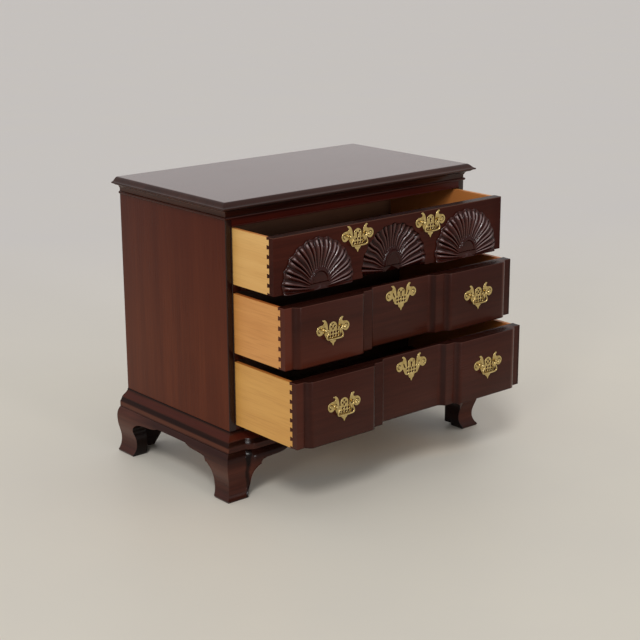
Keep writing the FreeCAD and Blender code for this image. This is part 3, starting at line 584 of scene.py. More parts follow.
def sheet_of(loop, inner=()):
    """A flat triangle sheet filling a closed line, with the inner spots as its own points."""
    spots = [Vector(spot) for spot in [*loop, *inner]]
    edges = [(number, (number + 1) % len(loop)) for number in range(len(loop))]
    made = geometry.delaunay_2d_cdt(spots, edges, [], 1, .01)
    return [tuple(spot) for spot in made[0]], [list(face) for face in made[2]]


def skirt(loop, columns, front, back):
    """A skirt board: its outline filled, pushed out to 'front' and closed at 'back'."""
    edge = np.array(loop)
    margin = .9
    inner = []
    for up in profile_heights:
        for across in columns:
            clear = np.min(np.hypot(edge[:, 0] - across, edge[:, 1] - up)) > margin
            if clear and inside_loop((across, up), loop):
                inner.append((across, up))
    spots, faces = sheet_of(loop, inner)
    count = len(spots)
    points = [front(*spot) for spot in spots] + [back(*spot) for spot in spots]
    sides = {side: None for face in faces for side in zip(face, face[1:] + face[:1])}
    closed = faces + [[spot + count for spot in face[::-1]] for face in faces]
    closed += [[end, start, start + count, end + count] for start, end in sides
               if (end, start) not in sides]
    return welded(*outward(points, closed))


def foot_reach(up):
    """How far the ogee stands out from the case at a height."""
    return float(np.interp(up, [up for _, up in foot_profile], [out for out, _ in foot_profile]))


@functools.lru_cache(maxsize=None)
def front_plan(up):
    """The front skirt's blocked line at a height, as all its x and all its y."""
    out = foot_reach(up)
    return np.array(blocked_line(out, CASE_HALF + out, 24)).T


def foot_shade(place, tone):
    """Painted shade: dark under the moulding and at the toe, a dark line in the blocking's corner,
    and the sawn edges nearly black.
    """
    up, across = place.mm("Z"), place.mm("X").size()
    hollow = up.between(5, 22) * (1 - up.between(42, 74) * up.between(133, 115))
    corner = (across - (OPENING_HALF - .5) + hollow * 8).band(-9, 0, 2.5)
    # Painted shade under the moulding, at the toe and in the blocking's hollow corner.
    dark = up.between(88, 124) * .82 + up.between(34, 14) * .45 + corner * .8
    # Painted shade: sawn edges facing sideways or down are blackened.
    shaded_sawn = place.node("NewGeometry", out=1).part("Y").size().between(.45, .15)
    return dark.math("MAXIMUM", dark, shaded_sawn * .85).tint(tone, (.004, .0013, .0009)), .04


def foot_side_shade(place, tone):
    """Painted shade under the moulding towards the front, a painted highlight lower on the ogee,
    and painted shade blackening the inside and the sawn edges.
    """
    up = place.mm("Z")
    # Painted shade under the moulding's overhang, towards the front.
    roll = up.between(98, 122) * place.mm("Y").between(330, 200) * .8
    # Painted highlight: a paler band on the ogee's lower curve.
    tone = (up.band(58, 94, 12) * .3).tint(tone, (.160, .052, .026))
    tone = roll.tint(tone, (.016, .0028, .0016))
    # Painted shade: the inside and the sawn edges are painted nearly black.
    shade_inside = place.mm("X").size().between(442, 430)
    shaded_sawn = place.node("NewGeometry", out=1).part("X").size().between(.5, .2)
    shade_inside = shade_inside.math("MAXIMUM", shade_inside, shaded_sawn)
    return (shade_inside * .96).tint(tone, (.004, .0015, .0010)), .04


foot_tones = (.024, .0065, .0045), (.072, .019, .011), (.125, .036, .02)
foot_finish = mahogany("foot", "x", *foot_tones, (0, .8, .5), figure=.5, change=foot_shade)
foot_side_finish = mahogany("foot_side", "y", *foot_tones, (.8, 0, .5), shine=.16,
                            change=foot_side_shade)
FOOT_OUT, SKIRT_THICK_IN, WINDOW_TOP = 41.0, 7.0, 119.0
BACK_HALF = CASE_HALF - SKIRT_THICK_IN
foot_profile = [(38.6, 0), (39.4, 1.2), (FOOT_OUT, 5)]
foot_profile += curve_points((41, 5), (34, 12), (28.5, 23.5), (28.5, 37.5))
foot_profile += curve_points((28.5, 37.5), (28.5, 63.5), (41, 74), (41, 108), count=12)
foot_profile += curve_points((41, 108), (41, 122), (33.8, 131), (28.3, SKIRT_TOP))
profile_heights = sorted({round(up, 2) for _, up in foot_profile})
front_scroll = sawn_scroll(
    (62, 0), ((70, 15), (78, 30), (79, 46)), ((80, 58), (80, 70), (84, 77)),
    ((88, 85), (94, 92), (103, 93)), ((103, 99), (105, 104), (108, 105)),
    ((122, 110), (148, 109), (170, 111)), ((177, 113), (189, 115), (195, WINDOW_TOP)))
rear_scroll = sawn_scroll(
    (73, 0), ((79, 10), (81, 28), (78, 50)), ((76, 65), (70, 72), (73, 80)),
    ((78, 92), (93, 101), (108, 105)), ((123, 109), (149, 110), (168, 111)),
    ((183, 113), (195, 115), (201, WINDOW_TOP)))

half_loop = [(CASE_HALF + out, up) for out, up in foot_profile[::-1]]
half_loop += [(CASE_HALF + FOOT_OUT - across, up) for across, up in front_scroll]
loop = half_loop + [(x, WINDOW_TOP) for x in range(260, -261, -20)] + mirrored(half_loop)
loop += [(x, SKIRT_TOP) for x in range(-450, 451, 10)]
plan_xs = {round(x, 2) for out in (28, 36, 41) for x, _ in blocked_line(out, CASE_HALF)}
case_piece("skirt_front_sawn", skirt(
    loop, sorted(plan_xs) + list(range(-470, 471, 7)),
    lambda x, up: (x, float(np.interp(x, *front_plan(round(up, 3)))), up),
    lambda x, up: (max(-BACK_HALF, min(BACK_HALF, x)), SKIRT_THICK_IN, up)),
    foot_finish, "skirt_front")

loop = [(-out, up) for out, up in foot_profile[::-1]]
loop += [(across - FOOT_OUT, up) for across, up in front_scroll]
loop += [(y, WINDOW_TOP) for y in range(165, 280, 10)]
loop += [(CASE_DEPTH - across, up) for across, up in rear_scroll[::-1]]
loop += [(CASE_DEPTH, up) for up in profile_heights]
loop += [(y, SKIRT_TOP) for y in range(480, -25, -12)]
for hand, side in HANDS.items():
    case_piece(f"skirt_{hand}_sawn", skirt(
        loop, range(-40, 491, 7),
        lambda y, up: (side * (CASE_HALF + foot_reach(up)), y, up),
        lambda y, up: (side * BACK_HALF, max(SKIRT_THICK_IN, y), up)),
        foot_side_finish, "skirt_" + hand)

# -------------------- rear brackets and blocks
# Plain boards with a diagonal edge brace the rear feet, and square blocks are glued in the
# corners behind all four.

# The brackets and blocks are painted nearly black: a dark stain and painted shade for the dark
# space behind the feet.
shaded_bracket_finish = mahogany(
    "bracket", "x", (.006, .0023, .0016), (.017, .0058, .004), (.028, .010, .006), (0, .4, .9),
    gloss=.45)
for node in ("rear_bracket_left", "rear_bracket_right", "foot_glue_blocks"):
    dress(node, shaded_bracket_finish)

# -------------------- drawer sides and linings
# Each drawer box is pale close-grained wood, its sides lap-dovetailed to the front, with a
# back dovetailed between them and a thin bottom grooved in.

SIDE_WOODS = {
    "top": ((.76, .455, .150), (.65, .35, .098), (.49, .235, .055)),
    "middle": ((.66, .31, .087), (.55, .23, .054), (.40, .15, .031)),
    "bottom": ((.66, .35, .088), (.56, .272, .060), (.42, .185, .036)),
}
for number, (name, woods) in enumerate(SIDE_WOODS.items()):
    side_wood = plain_wood(f"{name}_drawer_side_wood", "y", *woods, offset=(0, number, .3 * number),
                           gloss=.38, ring=.014, shade_inside=407.5)
    # Painted shade: the middle and bottom drawers' linings and floors are painted darker than the
    # top drawer's.
    painted_light = 1 if name == "top" else .45
    tones = [tuple(painted_light * share * tone for tone in (.13, .055, .026)) for share in (1.3, .95, .6)]
    lining, floor = (plain_wood(f"{name}_drawer_{part}", "x", *tones, gloss=.4,
                                offset=(number, 0, .6 * painted_light)) for part in ("lining", "floor"))
    for hand in HANDS:
        dress(f"{name}_drawer_side_{hand}", side_wood, .0004)
    dress(f"{name}_drawer_back", lining, .0004)
    dress(f"{name}_drawer_bottom", floor, .0003)

# -------------------- middle and bottom fronts
# Each is sawn and planed from one thick mahogany plank to two raised blocks and a sunk
# middle. Its end grain shows as pins between the tails of the drawer sides.

# Each drawer: height of its lower edge, height of its front, how far it stands open, tails.
DRAWERS = {"top": (582.5, 149.8, 169.5, 6), "middle": (396.8, 162.6, 211.4, 6),
           "bottom": (197.5, 176.2, 254.9, 7)}
FRONT_HALF, FRONT_THICK, LAP, SIDE_THICK = 411.0, 27.0, 18.0, 12.7
FRONT_EASE = .9
SIDE_IN = FRONT_HALF - .5 - SIDE_THICK


def front_outline(back):
    """The rest of a front's plan, behind its face: the laps at its ends and its back."""
    half = [(FRONT_HALF - back, LAP), (SIDE_IN, LAP), (SIDE_IN, FRONT_THICK)]
    return half + mirrored(half)


def joined(*shapes):
    """Several closed meshes as one."""
    points, faces = [], []
    for some_points, some_faces in shapes:
        faces += [[spot + len(points) for spot in face] for face in some_faces]
        points += some_points
    return points, faces


def with_pins(front, height, tails):
    """A front with its pins: the wedges left at both ends between the tails of the sides."""
    pitch = (height - 2) / tails
    wedges = []
    for number in range(tails + 1):
        middle, low, top = pitch * number, [], []
        for back, reach in ((LAP - .5, .15 * pitch), (FRONT_THICK, .22 * pitch)):
            low.append((back, middle - reach if number else 0))
            top.append((back, middle + reach if number < tails else height))
        for side in HANDS.values():
            wedges.append(stacked([[(side * x, y, up) for y, up in low + top[::-1]]
                                   for x in (SIDE_IN, FRONT_HALF)]))
    return joined(front, *wedges)


def front_shade_and_sheen(place, tone):
    """Painted shade in the returns, on the top faces and along the lower edges; a painted highlight
    on the top arrises, a painted reflection on the right outer returns; warmer and cooler patches,
    paler left ends.
    """
    up, across = place.mm("Z"), place.mm("X")
    middle = up.between(383, 388)
    warm = middle * up.between(500, 400) * across.between(-60, -180)
    cool = middle * up.between(400, 520) * across.between(130, 190)
    tone = (warm * .4).tint(tone, (.110, .024, .012))
    tone = (cool * .55).tint(tone, (.020, .0036, .0022))
    # Painted shade along the lower edges of the middle and bottom fronts.
    shaded_lower_edges = up.band(390, 399.5, 1) + up.band(190, 200, 1)
    tone = (shaded_lower_edges * .6).tint(tone, (.012, .0030, .0020))
    # Painted shade over the left block's inner return and strip; the left end strips are painted
    # paler.
    tone = (across.band(-162, -104, 2) * .3).tint(tone, (.012, .0030, .0020))
    tone = (across.between(-386, -391) * (.25 + middle * .25)).tint(tone, (.105, .022, .011))
    # Painted shade in the blocking's returns and at the right end.
    shaded_returns = (across.band(107, 117, 2.5) + across.band(149, 158, 4)) * .7
    shaded_returns = shaded_returns + across.band(-388, -371, 4) * .4 + across.band(-116, -103, 3) * middle * .4
    shaded_returns = shaded_returns + across.between(401, 407) * .6
    tone = shaded_returns.tint(tone, (.012, .0026, .0018))
    # Painted highlight along the top arrises.
    arris_highlight = up.band(371.9, 373.2, .3) + up.band(557.6, 558.9, .3)
    tone = (arris_highlight * .35).tint(tone, (.110, .050, .036))
    # Painted shade on the fronts' top faces.
    shaded_ledge = up.band(373.65, 385, .05) + up.between(559.3, 559.4)
    tone = (shaded_ledge * .8).tint(tone, (.012, .0030, .0020))
    # Painted reflection: the right block's outer return is painted paler and given more lacquer.
    return_reflection = across.band(364, 388, 3)
    polish = place.noise(.15, 2).between(.35, .7) * .12 + return_reflection * .3
    return (return_reflection * .4).tint(tone, (.110, .040, .026)), polish * (1 - shaded_ledge)


front_finish = mahogany(
    "front", "x", (.022, .0048, .0027), (.043, .0093, .0050), (.066, .016, .0085), (0, 0, .35),
    gloss=.2, stripe=.034, figure=.55, change=front_shade_and_sheen)
for name in ("middle", "bottom"):
    level, height, opened, tails = DRAWERS[name]
    rings = []
    for back, up in eased_profile(height, FRONT_EASE):
        face = [(x, y + back) for x, y in blocked_line(0, FRONT_HALF - back)]
        rings.append([(x, y, up) for x, y in face + front_outline(back)])
    make_piece(f"{name}_drawer_front_blocked",
               with_pins(welded(*stacked(rings)), height, tails), front_finish, name + "_drawer",
               f"{name}_drawer_front", (0, CASE_FRONT - opened, level))

# -------------------- top drawer's front
# A flat plank with a sunk shell carved in its middle and its lower edge cut to the
# blocking. The carver's gouge leaves ribs and flutes that fan out from a half-round hub.

RIBS = 11
RIB_PITCH = math.radians(17.2)
FAN_FOOT = 16.0
SHELL_RISE = 15.0
RETURN_SHAPE = np.array([return_at(step / 40) for step in range(41)])


def level_at(x, inner):
    """1 inside 'inner', 0 beyond the blocking's return next to it, with its curve between."""
    share = (inner + RETURN_WIDTH - abs(x)) / RETURN_WIDTH
    return float(np.interp(share, RETURN_SHAPE[:, 0], RETURN_SHAPE[:, 1]))


def rib_wave(turn):
    """Across the fan: -.9 in a rib's middle cut, 1 on its twin ridges, low between two ribs."""
    reach = abs(turn - math.floor(turn) - .5)
    if reach < .19:
        return -.9 + .95 * (1 - math.cos(math.pi * (reach / .19) ** .8)), reach
    return 1 - .68 * (1 - math.cos(math.pi * (reach - .19) / .31)), reach


def rib_spot(angle, reach, crest):
    """A place on a rib's line: from the crest at 'angle' down to the foot of the fan."""
    run, climb = crest * math.cos(angle), crest * math.sin(angle) + FAN_FOOT
    steep = run * run + climb * climb
    lean = FAN_FOOT * climb
    share = (lean + math.sqrt(lean * lean - steep * (FAN_FOOT ** 2 - reach * reach))) / steep
    return run * share, climb * share - FAN_FOOT


def clamped(value):
    return min(1, max(0, value))


def carved_fan(radius, section, hub, bottom_half, bottom_depth, scallop=4, spokes=22, apron=6):
    """A carved shell from its (radius, height, rib height) section, the hub's middle at zero.

    'hub' holds the arched hub's half width, its height and the level below it. Heights are
    towards the viewer, along -y.
    """
    hub_half, hub_high, hub_level = hub
    points, rows, ridges = [(0, -hub_level, 0)], [], [0.0]
    for number in range(RIBS * spokes + 1):
        angle = math.pi / 2 + RIB_PITCH * (RIBS / 2 - number / spokes)
        wave, reach = rib_wave((angle - math.pi / 2) / RIB_PITCH + RIBS / 2 + 1e-9)
        notch = scallop * (1 - math.cos(math.pi * min(1, reach / .5))) / 2
        row = [0]
        for r, height, lift in section:
            share = min(r, hub_half) / hub_half
            x, up = rib_spot(angle, max(r, hub_half) - notch * (r / radius) ** 6, .88 * radius)
            x, up = x * share, up * share
            fade = clamped((104 - r) / 72)
            arch = 1 + (hub_high / hub_half - 1) * fade * fade * (3 - 2 * fade)
            up *= arch if up > 0 else 1
            foot = clamped((3 - up) / 4) * (1 - clamped((r - hub_half) / 4))
            level_here = height + (hub_level - height) * foot * foot * (3 - 2 * foot)
            row.append(len(points))
            points.append((x, -level_here - lift * wave, up))
            ridges.append(wave * min(1.0, lift / 1.5))
        rows.append(row)
    marks = list(zip(points, ridges))
    apron_rows = [rows[0][::-1] + rows[-1][1:]]
    for step in range(1, apron + 1):
        t = step / apron
        row = []
        for spot in apron_rows[0]:
            x, y, up = points[spot]
            x *= 1 - t * (1 - bottom_half / radius)
            row.append(len(points))
            points.append((x, y - (bottom_depth(x) + y) * (3 * t * t - 2 * t * t * t),
                           up + (-SHELL_RISE - up) * t))
        apron_rows.append(row)
    faces = faces_of(rows) + [face[::-1] for face in faces_of(apron_rows)]
    outline = [row[0] for row in apron_rows[:0:-1]]
    outline += [row[-1] for row in rows] + [row[-1] for row in apron_rows[1:]]
    return points, faces, outline, apron_rows[-1], marks


def note_ridges(piece, origin, marks):
    """Write on every point of a carved piece how high it lies on its rib, from -.9 to 1."""
    tree = kdtree.KDTree(len(marks))
    for number, (spot, _) in enumerate(marks):
        tree.insert(spot, number)
    tree.balance()
    ridge = piece.data.attributes.new("ridge", "FLOAT", "POINT")
    for vertex, note in zip(piece.data.vertices, ridge.data):
        _, number, gap = tree.find(vertex.co * 1000 - Vector(origin))
        note.value = marks[number][1] if gap < .02 else 0.0


def rib_shade(place, tone):
    """Painted shade blackens the gouge cuts; the ridges are polished and painted paler as painted
    sheen, with painted glints on faces turned up and left.
    """
    ridge = place.node("Attribute", {"attribute_name": "ridge"}, out=2)
    crest, shaded_cut = ridge.between(.35, .95), ridge.between(.1, -.6)
    # Painted sheen: the ridges are tinted paler.
    tone = (crest * .4).tint(tone, (.085, .016, .010))
    # Painted glint: ridge faces turned up and to the left are painted pale.
    facing = place.node("NewGeometry", out=1)
    painted_light = (facing.part("Z") * .78 - facing.part("X") * .62).between(.42, .86)
    tone = (painted_light * ridge.between(.3, .9) * .95).tint(tone, (.52, .44, .44))
    # Painted shade: the gouge cuts are painted nearly black.
    return (shaded_cut * .95).tint(tone, (.0015, .0006, .0005)), .36 + crest * .64 - shaded_cut * .36


def carved_shade(place, tone):
    """The sunk shell is stained darker than the flat and lacquered to a higher shine; the right end
    and top face carry painted shade, and a painted highlight runs along the top arris.
    """
    behind = place.mm("Y") - face_y
    above = place.mm("Z") - (level + height)
    carved = behind.between(-.15, 1.15) * place.mm("X").size().between(125, 119)
    # Painted shade at the right end of the front.
    tone = (place.mm("X").between(368, 396) * .7).tint(tone, (.024, .0030, .0016))
    # Painted highlight along the front's top arris.
    arris_highlight = above.band(-2.1, .7, .4) * (1 - carved)
    tone = (arris_highlight * .5).tint(tone, (.130, .060, .042))
    # Painted shade on the front's top face.
    tone = (above.between(-.1, 0) * .8).tint(tone, (.010, .0026, .0018))
    fan, polish = rib_shade(place, (carved * .8).tint(tone, (.018, .0022, .0013)))
    return carved.tint(tone, fan), .03 + carved * polish * .8


level, height, opened, tails = DRAWERS["top"]
face_y = CASE_FRONT - opened
sunk_section = [
    (1.5, -4, 0), (4, -3.9, 0), (8, -3.7, 0), (12, -3.6, 0), (19, -3.8, 0), (22, -4.4, 0),
    (24, -3, 0), (26, -2.2, 0), (28, -3, 0), (29.5, -7, 0), (32, -10.6, .5), (36, -11.6, 1),
    (42, -11.5, 1.5), (50, -11.1, 1.9), (58, -10.6, 2.3), (66, -10, 2.7), (74, -9.4, 3),
    (82, -8.8, 3.2), (90, -8.3, 3.4), (97, -8, 3.5), (102, -7.8, 3.4), (106, -7.6, 3.1),
    (109, -7.2, 2.7), (111.5, -6.4, 2.2), (113.5, -5.2, 1.6), (115.2, -3.6, 1),
    (116.8, -1.8, .5), (118, 0, 0)]
points, faces, outline, low_row, marks = carved_fan(
    118, sunk_section, (28, 41, -9), HOLLOW_HALF,
    lambda x: -RECESS * level_at(x, HOLLOW_HALF - RETURN_WIDTH))
points = [(x, y, up + SHELL_RISE) for x, y, up in points]
edge = FRONT_HALF - FRONT_EASE
spots, flat_faces = sheet_of(
    [(points[spot][0], points[spot][2]) for spot in outline]
    + [(edge, 0), (edge, height), (-edge, height), (-edge, 0)])
behind_face = [(edge, 0), (FRONT_HALF, FRONT_EASE)]
behind_face += front_outline(0) + mirrored(behind_face)
walls, wall_rows = numbered([[(x, y, up) for x, y in behind_face] for up in (0, height)])
underside = [(x, y, 0) for x, y in behind_face + [points[spot][:2] for spot in low_row]]
front = joined((points, faces), ([(x, 0, up) for x, up in spots], flat_faces),
               (walls, faces_of(wall_rows) + [wall_rows[1]]),
               (underside, [list(range(len(underside)))[::-1]]))
top_front_finish = mahogany(
    "carved_front", "x", (.020, .0038, .0022), (.046, .0082, .0046), (.072, .015, .008),
    (0, 0, .1), stripe=.034, shine=.05, figure=.55, change=carved_shade)
piece = make_piece(
    "top_drawer_front_carved", with_pins(welded(*front), height, tails), top_front_finish,
    "top_drawer", "top_drawer_front", (0, face_y, level), sharp=42)
note_ridges(piece, (0, face_y, level + SHELL_RISE), marks)

# -------------------- raised shells
# Two shells carved apart from mahogany and glued to the top drawer's front, with eleven
# ribs whose rolled ends stand proud, over a foot shaped like the blocks below.

SHELL_MIDDLE = 268.0
SHELL_EDGE = .3
BLOCK_HALF = (BLOCK_OUTER - RETURN_WIDTH - BLOCK_INNER) / 2
raised_section = [
    (1.5, 11.6, 0), (4, 11.7, 0), (8, 11.9, 0), (12, 12, 0), (21, 11.6, 0), (24.5, 11, 0),
    (26.5, 13.2, 0), (28.5, 14.6, 0), (30.5, 14.2, 0), (32, 11.6, .2), (34, 9, .7),
    (38, 8.4, 1.3), (44, 8.7, 1.8), (52, 9.3, 2.3), (60, 10, 2.7), (68, 10.7, 3),
    (76, 11.1, 3.3), (82, 11.2, 3.6), (87, 11, 3.8), (91, 10.6, 3.9), (95, 10, 4),
    (98.5, 9.3, 4), (101.5, 8.6, 3.9), (104, 7.9, 3.7), (106.5, 7.1, 3.3), (108.8, 6.3, 2.7),
    (110.8, 5.5, 2), (112.6, 4.9, 1.3), (114.2, 4.4, .8), (116, 4.3, .6), (118, 4.1, .8),
    (119.3, 3.2, .7), (120, 2, .4)]
shell_finish = mahogany(
    "shell", "x", (.013, .0022, .0014), (.040, .0054, .0027), (.072, .013, .008), (0, 0, .6),
    gloss=.2, stripe=.03, shine=.05, figure=.6, change=rib_shade)
points, faces, outline, low_row, marks = carved_fan(
    120, raised_section, (32, 38, 9.5), BLOCK_HALF + RETURN_WIDTH,
    lambda x: SHELL_EDGE + (BLOCK_RISE - SHELL_EDGE) * level_at(x, BLOCK_HALF))
ring = outline + low_row[::-1][1:-1]
back = list(range(len(points), len(points) + len(ring)))
points += [(points[spot][0], 0.0, points[spot][2]) for spot in ring]
shell = outward(points, faces + faces_of([ring + ring[:1], back + back[:1]]) + [back[::-1]])
for hand, side in HANDS.items():
    spot = (side * SHELL_MIDDLE, face_y, level + SHELL_RISE)
    piece = make_piece(f"shell_{hand}_carved", shell, shell_finish, "top_drawer",
                       "shell_" + hand, spot, sharp=50)
    note_ridges(piece, spot, marks)

# -------------------- brasses
# Cast and polished brass: pierced plates, turned posts through the front with nuts inside,
# and a bail swinging on each pair of posts.


def brass(name, tone, deep, gloss):
    finish = Finish(name)
    scratch = finish.place.noise(.0012, 2)
    return finish.set(Base_Color=finish.place.noise(.006, 3).between(.3, .75).tint(tone, deep),
                      Metallic=1.0, Roughness=gloss + scratch * .14,
                      Normal=finish.bumped(scratch, .00004))


bright_brass = brass("polished_brass", (.64, .50, .225), (.42, .30, .105), .17)
plain_brass = brass("plain_brass", (.60, .42, .16), (.4, .26, .09), .38)

# Half of the plate's outline, from the top of its ring round to the pendant's tip.
PLATE_HALF = [
    (0, 13.5), (5.2, 12.5), (9.6, 9.5), (12.5, 5.1), (13.5, 0), (12.9, -4.4), (13.3, -8),
    (15.4, -9.2), (16.6, -6), (17.4, 0), (18.3, 6), (19.6, 11.6), (22.4, 16.8), (26.2, 21),
    (30, 22.8), (33.8, 21.6), (34.8, 19.4), (32.2, 17.8), (30.6, 14.6), (31.4, 11.4), (35.2, 9.7),
    (41, 9.1), (47, 7.8), (52, 4.2), (54.9, -1.2), (55.2, -6.6), (52.9, -12.2), (48.6, -16.2),
    (43.6, -17.6), (38.6, -16.6), (34.6, -13.6), (32.2, -12.9), (30.2, -14.8), (28.6, -18.8),
    (26, -23.4), (23.4, -28), (20, -30.6), (15.4, -31.6), (11.4, -32.6), (10.3, -35), (10, -37.6),
    (7.6, -40.6), (4.4, -42.6), (2.6, -45.6), (1.3, -49), (0, -50.4)]
# The long slot beside the ring, on the right.
SLOT = [(29.2, 2.4), (29.8, 0), (28.2, -4.6), (25.6, -9), (23.2, -11), (21.9, -9.4), (23.4, -6),
        (25.6, -2.2), (26.8, 1.6)]
KEYHOLE_HALF = [(1.2, 3.5), (3.1, 1.9), (3.3, -.8), (1.8, -2.8), (1.8, -11)]


def smooth_loop(spots, count=4):
    """A closed line through the spots, rounded between them."""
    line = []
    for number in range(len(spots)):
        a, b, c, d = (np.array(spots[(number + step) % len(spots)]) for step in (-1, 0, 1, 2))
        for step in range(count):
            t = step / count
            line.append(tuple(.5 * (2 * b + (c - a) * t + (2 * a - 5 * b + 4 * c - d) * t ** 2
                                    + (3 * b - a - 3 * c + d) * t ** 3)))
    return line


def arc(x, up, radius, turns):
    return [(x + radius * math.cos(turn), up + radius * math.sin(turn)) for turn in turns]


def bored(x, up, radius):
    """A round hole through the plate."""
    return arc(x, up, radius, [2 * math.pi * step / 16 for step in range(16)])


def plate_mesh(name, key):
    """The cast plate: its outline and piercings filled and given rounded edges."""
    curl_turns = [math.radians(-100 + 22 * step) for step in range(13)]
    curl = arc(44.6, -4.2, 6.2, curl_turns) + arc(44.6, -4.2, 4.4, curl_turns[::-1])
    loops = [smooth_loop(PLATE_HALF + mirrored(PLATE_HALF)[1:-1])]
    for side in (1, -1):
        loops.append(smooth_loop([(side * x, up) for x, up in SLOT], 3))
        loops.append([(side * x, up) for x, up in curl])
        for x, up in ((5, -15), (14.5, -15.2), (4.8, -24.2), (13.8, -24.6)):
            loops.append(bored(side * x, up, 3.3))
        if key:
            loops.append(bored(side * 7, 5.2, 2.4))
        else:
            loops += [bored(side * 5.8, .2, 2.9), bored(0, .2 + side * 5.8, 2.9)]
    if key:
        loops.append(KEYHOLE_HALF + mirrored(KEYHOLE_HALF))
    curve = bpy.data.curves.new(name, "CURVE")
    curve.dimensions = "2D"
    curve.fill_mode = "BOTH"
    curve.extrude, curve.bevel_depth, curve.offset = .0003, .0006, -.0006
    curve.bevel_resolution = 2
    for loop in loops:
        spline = curve.splines.new("POLY")
        spline.points.add(len(loop) - 1)
        for point, (x, up) in zip(spline.points, loop):
            point.co = (x / 1000, up / 1000, 0, 1)
        spline.use_cyclic_u = True
    holder = bpy.data.objects.new(name, curve)
    mesh = bpy.data.meshes.new_from_object(holder)
    bpy.data.objects.remove(holder)
    bpy.data.curves.remove(curve)
    mesh.transform(Matrix.Translation((0, -.0009, 0)) @ Matrix.Rotation(math.radians(90), 4, "X"))
    smooth_faces(mesh, bright_brass, 40)
    return mesh


def rod(path, radii, sides=12):
    """A bent rod of changing thickness along a path, its ends closed."""
    path = [Vector(point) for point in path]
    rings = []
    side_way = Vector((0, -1, 0))
    for number, (spot, radius) in enumerate(zip(path, radii)):
        before, after = path[max(number - 1, 0)], path[min(number + 1, len(path) - 1)]
        up_way = (after - before).normalized().cross(side_way).normalized()
        turns = (2 * math.pi * step / sides for step in range(sides))
        rings.append([tuple(spot + radius * (math.cos(turn) * side_way + math.sin(turn) * up_way))
                      for turn in turns])
    return stacked(rings)


def turned(profile, sides=20):
    """A lathe-turned pin: (radius, height off the face) pairs turned round its own line."""
    turns = [2 * math.pi * step / sides for step in range(sides)]
    return stacked([[(radius * math.cos(turn), -off, radius * math.sin(turn)) for turn in turns]
                    for radius, off in profile])


# Each drawer's pulls: from the middle, out from the front plane, above the front's half height.
PULLS = {"top": (132.0, 0.0, 48.3), "middle": (266.0, 15.0, 12.8), "bottom": (266.0, 15.0, 12.8)}
POST_HALF, POST_DROP, PIN_OUT = 31.75, 4.0, 9.8
key_plate = plate_mesh("pierced_key_plate", True)
pull_plate = plate_mesh("pierced_plate", False)
half_bail = [(31.2, 0)]
for count, *bend in ((5, (28.4, 1.2), (25.4, 2.2), (23.2, -.6)),
                     (5, (21.4, -3.2), (21.6, -7.4), (23.6, -11.4)),
                     (6, (26.2, -16.4), (29.4, -21), (25.8, -24.6)),
                     (7, (22.8, -27.4), (12, -26.8), (0, -27.4))):
    half_bail += curve_points(half_bail[-1], *bend, count=count)
half_bail.reverse()
bail_line = mirrored(half_bail) + half_bail[1:]
bail = rod([(x, 2.2 * (up / 27.4) ** 2, up) for x, up in bail_line],
           [1.5 + .9 * min(1, abs(up) / 14) for _, up in bail_line])
post_points, post_faces = turned(
    [(2.2, -20), (2.2, 1.8), (4.7, 1.8), (4.9, 2.3), (4.6, 2.9), (3.2, 3.4), (2.6, 4.4), (2.6, 5.2),
     (3.3, 6.0), (4.0, 7.0), (4.4, 8.2), (4.5, 9.6), (4.3, 11), (3.7, 12.3), (2.7, 13.4),
     (1.3, 14.1), (.1, 14.3)])
for name, (pull_x, face_out, lift) in PULLS.items():
    level, height, opened, _ = DRAWERS[name]
    ring_up = level + height / 2 + lift
    pull_y = CASE_FRONT - opened - face_out
    posts = []
    dress(f"{name}_pull_nuts", plain_brass, .0003)
    for hand, side in HANDS.items():
        set_in_place(f"{name}_plate_{hand}_cast", key_plate if name == "top" else pull_plate,
                     name + "_drawer", f"{name}_pull_plate_{hand}",
                     (side * pull_x, pull_y, ring_up))
        make_piece(f"{name}_bail_{hand}_bent", bail, bright_brass, f"{name}_{hand}_bail",
                   f"{name}_bail_{hand}",
                   (side * pull_x, pull_y - PIN_OUT, ring_up - POST_DROP), sharp=60)
        for shift in (side * pull_x - POST_HALF, side * pull_x + POST_HALF):
            posts.append(([(x + shift, y, up) for x, y, up in post_points], post_faces))
    make_piece(name + "_posts_turned", joined(*posts), bright_brass, name + "_drawer",
               name + "_pull_posts", (0, pull_y, ring_up - POST_DROP), sharp=50)
for name, drop in (("middle", 29.8), ("bottom", 31.0)):
    level, height, opened, _ = DRAWERS[name]
    set_in_place(name + "_escutcheon_cast", key_plate, name + "_drawer", name + "_escutcheon",
                 (0, CASE_FRONT - opened + RECESS, level + height - drop))

# -------------------- room and camera
# A pale studio floor that fades towards the pale backdrop, four soft lamps and the viewer.

floor_mesh = bpy.data.meshes.new("studio_floor")
floor_mesh.from_pydata([(-30, -30, 0), (30, -30, 0), (30, 30, 0), (-30, 30, 0)], [],
                       [(0, 1, 2, 3)])
studio_floor = bpy.data.objects.new("studio_floor", floor_mesh)
bpy.context.scene.collection.objects.link(studio_floor)
paint = Finish("pale_floor")
across, deep = paint.place.part("X"), paint.place.part("Y")
# Painted bounce light: the floor in the chest's shadow is tinted warm, as light reflected off the
# mahogany.
painted_bounce = across.band(-.34, .30, .08) * (deep + across * .3).between(-.22, -.06)
painted_bounce = painted_bounce * deep.between(.32, .16)
tone = (deep + across * .6).between(.8, 3.5).tint((.69, .645, .56), (.615, .585, .56))
tone = (paint.place.noise(.25, 4).between(.35, .7) * .35).tint(tone, (.635, .60, .54))
floor_mesh.materials.append(
    paint.set(Base_Color=(painted_bounce * .75).tint(tone, (.84, .67, .49)), Roughness=.5))

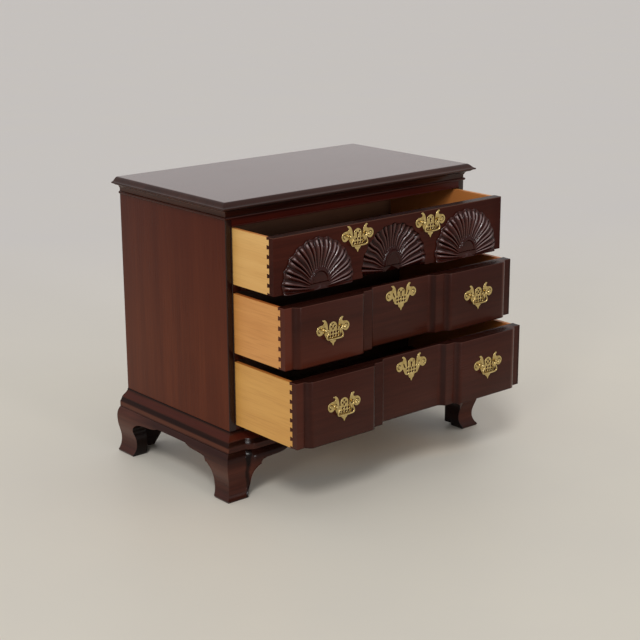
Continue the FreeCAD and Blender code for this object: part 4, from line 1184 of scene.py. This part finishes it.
world = bpy.data.worlds.new("studio")
bpy.context.scene.world = world
world.use_nodes = True
background = world.node_tree.nodes["Background"]
rays = world.node_tree.nodes.new("ShaderNodeLightPath").outputs
seen = Lead(world.node_tree, rays["Is Camera Ray"])
for kind in ("Is Glossy Ray", "Is Transmission Ray"):
    seen = seen.math("MAXIMUM", seen, Lead(world.node_tree, rays[kind]))
backdrop = seen.tint((.56, .56, .56), (.56, .535, .53))
world.node_tree.links.new(backdrop.socket, background.inputs["Color"])
background.inputs["Strength"].default_value = 1.0


def lamp(name, place, target, spread, strength):
    """A soft lamp so far off that its light falls evenly."""
    light = bpy.data.lights.new(name, "SUN")
    light.angle = math.radians(spread)
    light.energy = strength
    holder = bpy.data.objects.new(name, light)
    holder.location = place
    holder.rotation_euler = (Vector(target) - Vector(place)).to_track_quat("-Z", "Y").to_euler()
    bpy.context.scene.collection.objects.link(holder)


lamp("window_left", (-2.6, -2.6, 4.2), (0, 0, .4), 14, 1.15)
lamp("window_low_left", (-4.2, -2.1, 1.9), (0, 0, .1), 11, .4)
lamp("window_right", (2.2, -3.2, 2.6), (0, -.2, .5), 20, .1)
lamp("window_front", (.1, -4, 1.5), (0, 0, .6), 9, .42)

camera = bpy.data.cameras.new("viewer")
camera.lens = 82.61
camera.sensor_width = 36
yaw, pitch, roll = (math.radians(angle) for angle in (40.173, -15.766, -.284))
ahead = Vector((math.sin(yaw) * math.cos(pitch), math.cos(yaw) * math.cos(pitch),
                math.sin(pitch)))
level_right = Vector((math.cos(yaw), -math.sin(yaw), 0))
level_up = level_right.cross(ahead)
right = level_right * math.cos(roll) + level_up * math.sin(roll)
up = level_up * math.cos(roll) - level_right * math.sin(roll)
viewer = bpy.data.objects.new("viewer", camera)
stand = Matrix((right, up, -ahead)).transposed().to_4x4()
stand.translation = Vector((-2.6138, -2.9569 + CASE_FRONT / 1000, 1.5249))
viewer.matrix_world = stand
bpy.context.scene.collection.objects.link(viewer)
bpy.context.scene.camera = viewer
bpy.context.scene.view_settings.view_transform = "Standard"
